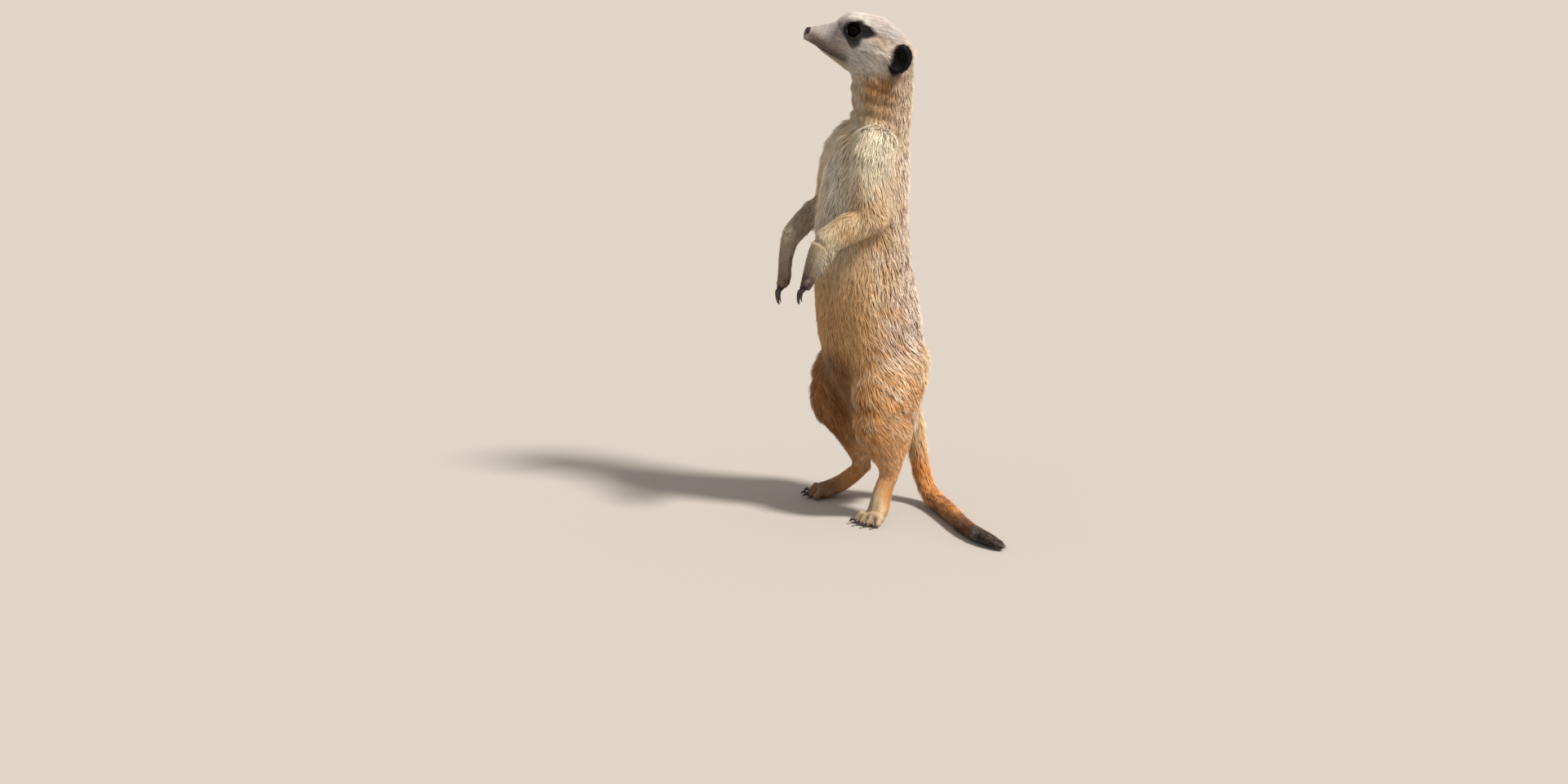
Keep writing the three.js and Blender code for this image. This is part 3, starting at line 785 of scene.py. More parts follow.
def wash(colours, chart, cover):
    """Lays a colour over others where cover rises from 0 to 1."""
    cover = np.clip(cover, 0, 1)[:, None]
    return colours * (1 - cover) + tint(chart) * cover


def washed(colours, washes):
    """Colours with a list of washes laid over them in turn, each a chart colour and its cover."""
    for chart, cover in washes:
        colours = wash(colours, chart, cover)
    return colours


print("cream is", tint("F6E8CF").round(3), "in linear numbers")

# %% [markdown]
# ## From the neck down
#
# The base is a sandy tan. The back is paler and greyer, the flank and belly golden, the throat and
# the top of the chest cream. The hands darken to their tips, the left one partly with painted
# shade, the legs turn orange downwards, and the belly between the thighs is painted brown as shade.
# The far arm and the far leg carry painted shade too, and so do the neck's folds and the dips
# between the digits. The tail starts pale, is orange along its length and ends dark. Each line of
# the list is
# one wash: its colour, and how far it covers.

# %% Markings of the body
BASE_CHART = "C79B66"


def markings_of_body(points, blur):
    """The colours from the neck down, the share of the back's pattern, and the painted shade
    between the thighs.
    """
    x, y, z = ((points - MIDDLE) / MM).T
    neck, trunk, tail = shares("neck"), shares("trunk"), shares("tail")
    arm, leg = shares("upper_arm", "forearm", "hand"), shares("thigh", "shank", "foot")
    back = step(-8, 12, y + 3 * blur - 0.10 * (z - 150)) * trunk * step(58, 84, z)
    front = trunk * step(-16, -26, y + blur)
    nape = neck * step(8, 18, y + blur)
    # Painted shade: a thin line along each of the neck's folds, where the crease is shaded.
    fold_shade = ridge(np.sin((z + 0.35 * y + 2.5 * blur) * np.pi / FOLD_PITCH), 0.2)
    wrist = sum(part_share[n] * step(0.6, 1.0, far[n]) for n in ("forearm_left", "forearm_right"))
    reach = sum(part_share[n] * far[n] for n in ("hand_left", "hand_right"))
    # Painted shade: the far forearm and hand, short of the dark finger ends, lie in the body's
    # shade.
    far_arm_shade = shares("forearm_right", "hand_right") * (1 - step(0.7, 1.0, reach))
    strands = step(-0.1, 0.4, wander(points, 2.5 * MM, 15))
    # Painted shade: the low belly between the thighs, where they shade it, is darkened.
    under = np.clip(trunk + leg, 0, 1) * step(116, 98, z) * step(-2, -14, y)
    under = under * step(22, 12, np.abs(x))
    colours = washed(np.tile(tint(BASE_CHART), (len(points), 1)), [
        # trunk
        ("D8BDAC", 0.9 * back),
        ("E8D0BC", back * step(190, 230, z)),
        ("C88E56", trunk * (1 - back) * step(190, 110, z) * 0.8),
        ("DDC09A", trunk * (1 - back) * step(182, 212, z) * 0.8),
        ("D6B084", trunk * (1 - back) * ridge(z - 165, 28) * 0.6),
        ("DEC7A4", 0.8 * front * step(120, 185, z)),
        ("E8DFCF", 0.9 * front * step(175, 215, z)),
        ("CC9A60", 0.85 * trunk * step(-2, -20, y) * step(176, 130, z)),
        ("D6C0A0", trunk * step(4, -8, x) * step(150, 185, z) * 0.8),
        # neck, throat and the top of the chest
        ("AE7C48", neck * 0.95),
        # lighter low on the neck; the darker upper neck is partly its own orange-brown, partly
        # painted shade under the head
        ("BFA07C", neck * step(272, 254, z + 2 * blur) * 0.85),
        # painted shade in the neck's folds
        ("5E4026", neck * 0.6 * (1 - nape) * fold_shade
         * step(-0.4, 0.6, wander(points, 9 * MM, 14))),
        ("D8BDA3", nape),
        ("E4D6C2", neck * step(-6, -13, y + blur)),
        ("E4D6C2", trunk * step(-16, -24, y) * step(206, 224, z) * 0.9),
        # arms and hands
        ("DCC9AC", arm * step(200, 228, z)),
        ("C4A071", shares("forearm") * 0.8),
        ("BFAA88", wrist),
        ("C0AA88", shares("hand")),
        ("A6947A", shares("hand") * step(0.0, 0.5, reach)),
        ("8F7664", shares("hand") * step(0.4, 0.7, reach + 0.04 * blur)),
        # partly the hand's darker digits, partly painted shade on the lower palm where the sun
        # falls
        ("5E4C44", shares("hand_left") * step(0.74, 0.95, reach + 0.02 * blur)),
        ("4A3A3A", shares("hand") * step(0.9, 1.0, reach + 0.02 * blur) * step(-51, -46, y)),
        ("2A1C22", shares("hand") * step(153, 149, z + 9.5 * (x < 0)) * 0.8),
        # painted shade on the far arm
        ("A89684", 0.7 * far_arm_shade),
        ("FFF8EA", fringe * strands),
        # legs and feet
        ("C48646", leg * step(112, 74, z + 2 * blur)),
        ("D08E4B", leg * step(62, 38, z + blur)),
        # painted shade: the front of the far leg is darker, as it faces away from the light
        ("94602F", shares("thigh_right", "shank_right") * 0.8 * step(4, -10, y)),
        # painted shade between the thighs
        ("6B3F1A", 0.8 * under),
        ("C6A982", shares("foot_left") * step(-6, -14, y)),
        # painted shade on the front of the far foot
        ("8F6440", shares("foot_right") * step(-2, -12, y)),
        # tail
        ("D98F4A", tail),
        ("EBC594", shares("tail_base") * step(26, 48, z)),
        ("8A5028", tail * step(56, 84, x)),
        ("3B2622", tail * step(84, 102, x + 2 * blur)),
        # between the digits: painted shade in the dips
        ("5A3A22", 0.6 * between_digits),
    ])
    return colours, back, under


blur = 1.6 * wander(skin_points, 14 * MM, 11) + 1.0 * wander(skin_points, 5 * MM, 12)
base_colour, on_back, groin_shade = markings_of_body(skin_points, blur)
print("mean colour without the head's markings", base_colour.mean(0).round(3))

# %% [markdown]
# ## The head
#
# The crown is a cool pale grey and the muzzle a darker one, with rows of small spots over the lip.
# The black round the eye is three soft patches joined: one about the eye, one drawn out behind it
# and one below. The ears are black, inside and out.

# %% Markings of the head
def markings_of_head(points, blur, colours):
    """The colours with the head's and ears' laid over them, and where the fur is black."""
    h = in_head(points)
    side, back, up = np.abs(h[:, 0]), h[:, 1], h[:, 2]
    head = shares("head", "ear")
    face = np.column_stack([side, h[:, 1:]])
    front = step(2, -12, back)
    over_lip = up - mouth_height(back)
    spots = step(0.1, 0.7, wander(points, 2.2 * MM, 13)) * ridge(over_lip - 3.0, 3.0)
    gape = 0.9 + 1.3 * step(-16, -4, back)
    black = (patch(face, [12.6, -1.0, -0.6], [11, 8.6, 6.8])
             + patch(face, [14, 7.0, 0.8], [9, 5.4, 2.6])
             + patch(face, [13, 1.2, -8.2], [9, 3.4, 4.6])) * step(4.5, 8, side)
    black = step(0.34, 0.66, black + 0.04 * blur)
    for which in range(2):
        out, rise, _ = about_eye(points, which)
        black = np.maximum(black, step(7.2, 5.4, out) * step(-0.5, 1.5, rise))
    in_ear = shares("ear") * 1.4 + sum(
        step(1.15, 0.9, np.hypot((back - ear_back) / 7.4, (up - ear_up) / 9.6))
        * (h[:, 0] * flip > 17)
        for flip, ear_back, ear_up in ((1, 31.6, -6.6), (-1, 28.8, -9.2)))
    in_ear = np.clip(in_ear, 0, 1)
    colours = washed(colours, [
        # crown, and behind the jaw
        ("DDD2CA", head),
        ("ABA0A2", head * 0.85 * step(0, 8, up + 0.2 * back)),
        ("C29C76", head * 0.6 * step(22, 34, back)),
        ("AE7C48", head * step(0.5, -2.0, up + 26.5 - 0.19 * back + 0.6 * blur)
         * step(9, 13, back)),
        # muzzle
        ("A69A96", head * front * 0.8),
        ("9A8070", head * front * 0.8 * ridge(over_lip - 4.0, 3.0)),
        ("6A4F46", head * 0.6 * spots * step(4, -6, back)),
        ("6E5850", head * 0.85 * ridge(over_lip - 1.8, 1.7) * step(4, -4, back)),
        ("C9B894", head * step(-0.6, -2.0, over_lip) * step(6, 0, back)),
        ("E9DDC4", head * step(-21.0, -23.0, up) * step(4, 10, back) * 0.6),
        # cheek and brow
        ("AE8560", head * 0.9 * patch(face, [17, 16, -1.2], [9, 8.5, 4.4])),
        ("C4875A", head * 0.6 * patch(face, [18, 14, -9.5], [6, 2.2, 1.6])),
        ("EFE6D2", head * 0.9 * patch(face, [14, 10.5, -8.6], [9, 5.5, 3.2])),
        ("EDE5D4", head * 0.85 * patch(face, [10, 1, 6.2], [12, 11, 3.0])),
        ("B7A29C", head * 0.5 * step(4, 9, up)),
        ("46332F", head * 0.85 * ridge(up - 2.6 + 0.16 * (back - 9), 0.9)
         * step(5, 8, back) * step(21, 13, back) * step(9, 13, side)),
        # round the eye
        ("080607", head * black),
        ("766B66", head * 0.9 * (1 - black) * patch(face, [10, -10.0, -3.6], [10, 7.5, 5.5])),
        ("4A4143", head * 0.9 * (1 - black) * patch(face, [11, -6.0, -2.2], [10, 5.0, 4.0])),
        # mouth, chin and cheek
        ("2E1E1B", head * 0.95 * ridge(over_lip, gape) * step(2.5, 0, back)
         * step(-27, -23, back)),
        ("3A2824", head * 0.8 * patch(face, [9, -1.5, -20.6], [9, 4.5, 1.8])),
        ("D8C6B4", head * 0.8 * patch(face, [2.4, -26.0, -17.4], [3.0, 3.0, 1.3])),
        ("E0D0B4", head * 0.8 * patch(face, [16, 21.0, -10], [6, 3.6, 8])),
        ("EFE8E0", head * 0.9 * patch(face, [16, 14.0, -16], [9, 12, 8])),
        # ear
        ("0E0B0C", in_ear),
    ])
    return colours, np.clip(black * head + in_ear, 0, 1)


base_colour, on_eye_patch = markings_of_head(skin_points, blur, base_colour)
print("mean coat colour", base_colour.mean(0).round(3))

# %% [markdown]
# ## Helpers for finishes
#
# A finish is a tree of shader nodes. A few helpers make it short to write: one for any node, one
# for a group with named sockets, made with `interface.new_socket`, and one for each small step
# that comes back often, such as a sum on sockets or a smooth range.

# %% Node helpers
def node(tree, kind, inputs=(), **settings):
    """A new node with its settings, and its input sockets filled from a dict of values or links."""
    made = tree.nodes.new(kind)
    for title, value in settings.items():
        setattr(made, title, value)
    for socket, value in dict(inputs).items():
        if isinstance(value, bpy.types.NodeSocket):
            tree.links.new(value, made.inputs[socket])
        else:
            made.inputs[socket].default_value = value
    return made


def group(name, inputs, outputs):
    """An empty shader node group with its sockets; returns it with its inner input and output."""
    tree = bpy.data.node_groups.new(name, "ShaderNodeTree")
    for direction, sockets in (("INPUT", inputs), ("OUTPUT", outputs)):
        for title, (kind, value) in sockets.items():
            socket = tree.interface.new_socket(title, in_out=direction,
                                               socket_type="NodeSocket" + kind)
            if value is not None:
                socket.default_value = value
    return tree, tree.nodes.new("NodeGroupInput"), tree.nodes.new("NodeGroupOutput")


def maths(tree, operation, *values):
    """One step of arithmetic on sockets or plain numbers."""
    return node(tree, "ShaderNodeMath", dict(enumerate(values)), operation=operation).outputs[0]


def scaled(tree, colour, factor):
    """A colour times a number."""
    return node(tree, "ShaderNodeVectorMath", {0: colour, "Scale": factor},
                operation="SCALE").outputs["Vector"]


def smooth_range(tree, value, low, high, to_low=0.0, to_high=1.0):
    """A value carried from one range to another by the cubic 3t^2 - 2t^3."""
    return node(tree, "ShaderNodeMapRange", {
        "Value": value, "From Min": low, "From Max": high, "To Min": to_low,
        "To Max": to_high}, interpolation_type="SMOOTHSTEP").outputs["Result"]


def mixed(tree, factor, first, second):
    """A mix of a colour socket and a second colour by a factor socket."""
    made = node(tree, "ShaderNodeMix", {"Factor": factor}, data_type="RGBA")
    a, b = (s for s in made.inputs if s.name in "AB" and s.type == "RGBA")
    tree.links.new(first, a)
    b.default_value = second
    return next(s for s in made.outputs if s.type == "RGBA")


def attribute(tree, title, output="Fac"):
    """The value or colour stored at the mesh's points under a name."""
    return node(tree, "ShaderNodeAttribute", attribute_name=title).outputs[output]


def on_object(tree):
    """The place on the object, which patterns in space read."""
    return node(tree, "ShaderNodeTexCoord").outputs["Object"]


def roughen(tree, shader, height, strength, distance, invert=False):
    """Tips the shader's normals by a height socket, through a Bump node."""
    bump = node(tree, "ShaderNodeBump", {"Height": height, "Strength": strength,
                                         "Distance": distance}, invert=invert)
    tree.links.new(bump.outputs["Normal"], shader.inputs["Normal"])


def finish_named(name, roughness, specular=0.5, coat=0.0, sheen=0.0):
    """A new material with its Principled shader; its uniform numbers are set on its sockets."""
    made = bpy.data.materials.new(name)
    made.use_nodes = True
    shader = made.node_tree.nodes["Principled BSDF"]
    for title, value in (("Roughness", roughness), ("Specular IOR Level", specular),
                         ("Coat Weight", coat), ("Coat Roughness", 0.06),
                         ("Sheen Weight", sheen), ("Sheen Roughness", 0.5)):
        shader.inputs[title].default_value = value
    return made, made.node_tree, shader


print("node helpers ready in Blender", bpy.app.version_string)

# %% [markdown]
# ## The skin's finish
#
# Under the coat the skin shows only in glimpses, but on the lids, lips, ears and toes it is
# nearly bare. Its colour is the marking, a little darker, with a fine mottling, and a Bump node
# gives it the nap of very short hair. The mottling is a node group, because the lids, the nose,
# the eyes and the fingers' ends use it too, each with its own size and strength.

# %% Mottling and the skin
def mottling_group():
    """Noise turned into a colour that is a little lighter and darker by place, and a height."""
    tree, inner, outer = group(
        "mottling",
        {"Colour": ("Color", (1, 1, 1, 1)), "Size": ("Float", 400.0), "Strength": ("Float", 0.2)},
        {"Colour": ("Color", None), "Height": ("Float", None)})
    noise = node(tree, "ShaderNodeTexNoise", {
        "Vector": on_object(tree), "Scale": inner.outputs["Size"], "Detail": 3.0})
    spread_out = node(tree, "ShaderNodeMapRange", {
        "Value": noise.outputs["Fac"], "From Min": 0.3, "From Max": 0.7,
        "To Min": -1.0, "To Max": 1.0})
    amount = maths(tree, "MULTIPLY_ADD", spread_out.outputs["Result"], inner.outputs["Strength"],
                   1.0)
    tree.links.new(scaled(tree, inner.outputs["Colour"], amount), outer.inputs["Colour"])
    tree.links.new(noise.outputs["Fac"], outer.inputs["Height"])
    return tree


MOTTLING = mottling_group()


def mottle(tree, shader, colour, size, strength):
    """The shader's colour, from a colour socket or a plain colour through the mottling group.
    Returns the group's height."""
    made = node(tree, "ShaderNodeGroup", {"Colour": colour, "Size": size, "Strength": strength},
                node_tree=MOTTLING)
    tree.links.new(made.outputs["Colour"], shader.inputs["Base Color"])
    return made.outputs["Height"]


skin_finish, tree, shader = finish_named("short_napped_skin", 0.62, 0.3)
mottle(tree, shader, attribute(tree, "coat_colour", "Color"), 900.0, 0.22)
nap = node(tree, "ShaderNodeTexNoise", {"Vector": on_object(tree), "Scale": 2600.0,
                                        "Detail": 2.0})
roughen(tree, shader, nap.outputs["Fac"], 0.5, 0.0003)

skin.data.vertices.foreach_set("co", skin_points.astype(np.float32).ravel())
skin.data.update()
skin.data.shade_smooth()
paint(skin.data, "coat_colour", base_colour * 0.8)
skin.data.materials.append(skin_finish)
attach(skin, "root")
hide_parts(*FLESH)
print("skin finished with", len(tree.nodes), "nodes")

# %% [markdown]
# ## The hair's finish
#
# One hair of a meerkat's coat is banded: dull at the root, its own colour along the shaft, and on
# many hairs a cream tip or a dark red-brown band. The dull root is partly the hair's own and partly
# painted shade deep in the coat. A particle system would be the usual tool, but
# it can't be kept as a mesh, so each tuft is a real thin spike that carries its own numbers to its
# material: `strand` runs from 0 at the root to 1 at the tip, `grain` is a chance number that the
# tufts of a lock nearly share, `fleck` is 1 on a tuft with a dark band, and `pale` says how strong
# a cream tip may be where it grows.

# %% Banding group and coat material
PALE_TIP, DARK_BAND = "F6E8CF", "78483A"
HAIR_BRIGHTNESS = (0.82, 1.14)


def banding_group():
    """Painted shade at the root, partly the hair's own duller base, then a dark band and a pale
    tip, each a smooth range along the strand.
    """
    tree, inner, outer = group(
        "hair_banding",
        {"Colour": ("Color", (1, 1, 1, 1)), "Strand": ("Float", 0.0), "Grain": ("Float", 0.0),
         "Fleck": ("Float", 0.0), "Pale": ("Float", 0.0)},
        {"Colour": ("Color", None)})
    strand, grain = inner.outputs["Strand"], inner.outputs["Grain"]
    # Painted shade deep in the coat, partly the hair's duller base: the colour falls to 0.6 at the
    # root.
    root_shaded = scaled(tree, inner.outputs["Colour"], smooth_range(tree, strand, 0.0, 0.55, 0.6, 1.0))
    many = maths(tree, "MULTIPLY", inner.outputs["Pale"], smooth_range(tree, strand, 0.35, 0.8))
    own_chance = maths(tree, "FRACT", maths(tree, "MULTIPLY", grain, 7.31))
    paled = mixed(tree, maths(tree, "MULTIPLY", many, own_chance), root_shaded, (*tint(PALE_TIP), 1))
    has_band = maths(tree, "LESS_THAN", grain, inner.outputs["Fleck"])
    band = maths(tree, "MULTIPLY", smooth_range(tree, strand, 0.35, 0.5),
                 smooth_range(tree, strand, 0.95, 0.8))
    banded = maths(tree, "MULTIPLY", has_band, band)
    flecked = mixed(tree, banded, paled, (*tint(DARK_BAND), 1))
    other_chance = maths(tree, "FRACT", maths(tree, "MULTIPLY", grain, 23.7))
    brightness = smooth_range(tree, other_chance, 0.0, 1.0, *HAIR_BRIGHTNESS)
    tree.links.new(scaled(tree, flecked, brightness), outer.inputs["Colour"])
    return tree


BANDING = banding_group()


def hair_finish(name, roughness, specular, sheen):
    """A hair material that reads its colour and its chances from the tufts' attributes."""
    made, tree, shader = finish_named(name, roughness, specular, sheen=sheen)
    bands = node(tree, "ShaderNodeGroup", {
        "Colour": attribute(tree, "coat_colour", "Color"), "Strand": attribute(tree, "strand"),
        "Grain": attribute(tree, "grain"), "Fleck": attribute(tree, "fleck"),
        "Pale": attribute(tree, "pale")}, node_tree=BANDING)
    tree.links.new(bands.outputs["Colour"], shader.inputs["Base Color"])
    return made


coat_finish = hair_finish("banded_hair", 0.55, 0.25, 0.1)
ear_finish = hair_finish("velvet_black_hair", 0.8, 0.06, 0.0)
print("coat material has", len(BANDING.nodes), "nodes in its group")

# %% [markdown]
# ## How wide, how pale and how flecked
#
# Longer hair is a little wider. The back is flecked in faint bands, the pale tips are strongest on
# the chest and shoulders and missing where the fur is black, and the belly is plain. On the inner
# side of the far leg and between the thighs the pale tips are left out as well, as painted shade.

# %% Width, flecks and pale tips
hair_width = 0.09 * hair_length ** 0.72 * (1 + 0.5 * fringe)
banded_back = 0.6 + 0.5 * np.sin(in_body[:, 2] * 2 * np.pi / 15 + 1.6 * blur)
dark_place = np.clip(on_eye_patch + shares("ear") + shares("hand") * step(166, 156, in_body[:, 2]),
                     0, 1)
nape = shares("neck") * step(4, 12, in_body[:, 1])
fleck_share = np.clip(0.34 * on_back * banded_back + 0.08 * nape, 0, 1)
pale_share = 0.55 + 0.35 * shares("trunk", "upper_arm") + 0.15 * shares("thigh") + 0.1 * blur
pale_share = pale_share - 0.4 * (shares("neck") - nape) - 0.35 * shares("tail")
# Painted shade: the far leg's front and the place between the thighs lose most of their pale tips.
far_leg_shade = shares("thigh_right", "shank_right") * step(4, -10, in_body[:, 1])
plain = np.clip(0.75 * belly + 0.8 * far_leg_shade + groin_shade, 0, 0.9)
pale_share = np.clip(pale_share * (1 - plain) + fringe, 0, 1) * (1 - 0.95 * dark_place)
lock_contrast = 1 - 0.55 * np.clip(belly + shares("hand", "foot"), 0, 1) + 0.3 * shares("head")
print("hair up to", hair_width.max().round(2), "mm wide; highest share of flecks",
      fleck_share.max().round(2), "and of pale tips", pale_share.max().round(2))

# %% [markdown]
# ## How many tufts and where
#
# Long hair covers with fewer tufts than short hair, so the number for each square millimetre is
# the wanted cover divided by the face area of one tuft. Each triangle gets its share of the
# tufts by running along the sum of all shares in even steps, which spreads them more evenly than
# free chance does. Inside its triangle a root falls anywhere with equal chance.

# %% Root places
TUFT_FILL = 0.55  # a tuft's area over its length times its width
triangle_normals = np.cross(
    skin_points[skin_triangles[:, 1]] - skin_points[skin_triangles[:, 0]],
    skin_points[skin_triangles[:, 2]] - skin_points[skin_triangles[:, 0]])
triangle_areas = np.linalg.norm(triangle_normals, axis=1) / 2 / MM ** 2


def at_triangles(values):
    """The mean of a point value over each triangle's three corners."""
    return values[skin_triangles].mean(1)


def bend_along():
    """How fast the skin turns away under the hair, per metre: the change of the normals along
    the lie, by the slopes of the corner weights in each triangle."""
    p, n = skin_points[skin_triangles], skin_normals[skin_triangles]
    flow = unit(lie[skin_triangles].mean(1))
    double = (triangle_normals ** 2).sum(1, keepdims=True)
    change = 0
    for k in range(3):
        opposite = p[:, (k + 2) % 3] - p[:, (k + 1) % 3]
        slope = np.cross(triangle_normals, opposite) / double
        change = change + n[:, k] * (slope * flow).sum(1, keepdims=True)
    return (change * flow).sum(1)


triangle_bend = bend_along()
point_bend = spread(gather(
    skin_triangles.ravel(), np.repeat(triangle_bend, 3)[:, None], len(skin_points))[:, 0]
    / np.bincount(skin_triangles.ravel(), minlength=len(skin_points)), 10)
point_bend = np.clip(point_bend, -40, 90)


def roots(chosen, cover, draw):
    """Triangle numbers and corner weights of the roots in the chosen triangles."""
    area_of_one = at_triangles(hair_length) * at_triangles(hair_width) * TUFT_FILL
    running = np.cumsum(np.where(chosen, triangle_areas * cover / area_of_one, 0))
    count = int(running[-1])
    marks = np.arange(count) + draw.random(count)
    which = np.clip(np.searchsorted(running, marks), 0, len(running) - 1)
    a, b = draw.random((2, count))
    over = a + b > 1
    a, b = np.where(over, 1 - a, a), np.where(over, 1 - b, b)
    return which, np.stack([1 - a - b, a, b], 1)


def at_roots(values, which, weights):
    """A point value carried to the roots by their corner weights."""
    corners = values[skin_triangles[which]]
    return (corners * (weights[..., None] if corners.ndim == 3 else weights)).sum(1)


print("skin area", round(triangle_areas.sum()), "square mm")

# %% [markdown]
# ## Locks
#
# Neighbouring hairs lean together into locks, which is what gives fur its broken, feathered look.
# Each lock also has its own shade, and a third of a lock its own chance of a dark fleck.

# %% Find the locks
LOCK_BLOCK = 13 * MM


def locks_of(places, normals, flows, lengths, draw):
    """The lock each root belongs to, the third of a lock, and the direction across it. Space is
    cut into blocks; in each, the mean lie of its hairs is the long way of its locks, and their
    width grows with the root of the hair's length, so a lock is a narrow strip of hairs that lie
    one behind another."""
    shifted = places + draw.normal(0, LOCK_BLOCK / 12, places.shape)
    block = np.unique(np.floor(shifted / LOCK_BLOCK).astype(int), axis=0,
                      return_inverse=True)[1].ravel()
    count = np.bincount(block)[:, None]
    centre, flow, normal, length = (
        (gather(block, v, len(count)) / count)[block]
        for v in (places, flows, normals, lengths[:, None]))
    flow = unit(flow)
    across = unit(np.cross(normal, flow))
    wide, long = 0.42 * np.sqrt(length[:, 0] * MM), 0.8 * length[:, 0]
    wobble = 0.5 * wander(places, 9 * MM, 21)
    column = np.floor(((places - centre) * across).sum(1) / wide + wobble)
    row = np.floor(((places - centre) * flow).sum(1) / long + 0.618 * column)
    third = np.floor(3 * ((places - centre) * flow).sum(1) / long)
    lock, dash = (np.unique(np.stack([block, column, v], 1), axis=0, return_inverse=True)[1]
                  .ravel() for v in (row, third))
    return lock, dash, across


print("locks are found in blocks of", LOCK_BLOCK / MM, "mm")

# %% [markdown]
# ## Unrolling
#
# A coat piece has thousands of loose spikes, so its bake map is not cut from its faces. Every tuft
# takes a small patch of the map, at the place where its root lies on the unrolled skin.

# %% Unroll a place round a path
TUFT_PATCH = 0.003


def unrolled(places, path):
    """The skin's own unwrap, like a label off a bottle: the angle round the path across, and the
    distance along it upwards, both stretched to fill the square."""
    ends = np.asarray(path, float)
    steps = ends[1:] - ends[:-1]
    starts = np.concatenate([[0], np.cumsum(np.linalg.norm(steps, axis=1))])
    share = ((places[:, None] - ends[:-1]) * steps).sum(2) / (steps ** 2).sum(1)
    inside = np.clip(share, 0, 1)
    gap = np.linalg.norm(places[:, None] - (ends[:-1] + inside[..., None] * steps), axis=2)
    best = gap.argmin(1)
    rows = np.arange(len(places))
    last, first = best == len(steps) - 1, best == 0
    free = np.where(last, np.maximum(share[rows, best], 0), np.minimum(share[rows, best], 1))
    free = np.where(first | last, free, inside[rows, best])
    v = starts[best] + free * np.linalg.norm(steps, axis=1)[best]
    axis = unit(steps)[best]
    out = places - (ends[best] + free[:, None] * steps[best])
    front = laid_flat(np.tile([0.12, -0.05, 1.0] if abs(axis[:, 2].mean()) < 0.6
                              else [0.1, 1.0, 0.05], (len(places), 1)), axis)
    across = np.cross(axis, front)
    u = np.arctan2((out * across).sum(1), (out * front).sum(1))
    uv = np.stack([u, v], 1)
    low, high = uv.min(0), uv.max(0)
    return 0.006 + 0.988 * (uv - low) / (high - low)


print("each tuft's patch is", TUFT_PATCH, "of the map wide")

# %% [markdown]
# ## One tuft
#
# A tuft is a thin closed spike. It starts a little under the skin, leaves it at a low angle and
# then lies along it, because its height above the skin grows fast at first and levels off at the
# depth of the coat. Where the skin curves away beneath, the spike bends with it: a point at the
# distance s drops by half the bend times s squared. The long kind has a ring of three points at
# the root, another halfway and a tip. The short kind has no middle ring.

# %% The tuft builder
ROUNDING = 0.55
LOCK_SHADES = (0.62, 1.26)
LEAN_DEGREES = 10
LOWEST_HAIR = 0.15 * MM
LONG_TUFT = np.array([[0, 2, 1], [0, 1, 4], [0, 4, 3], [1, 2, 5], [1, 5, 4], [2, 0, 3],
                      [2, 3, 5], [3, 4, 6], [4, 5, 6], [5, 3, 6]])
SHORT_TUFT = np.array([[0, 2, 1], [0, 1, 3], [1, 2, 3], [2, 0, 3]])


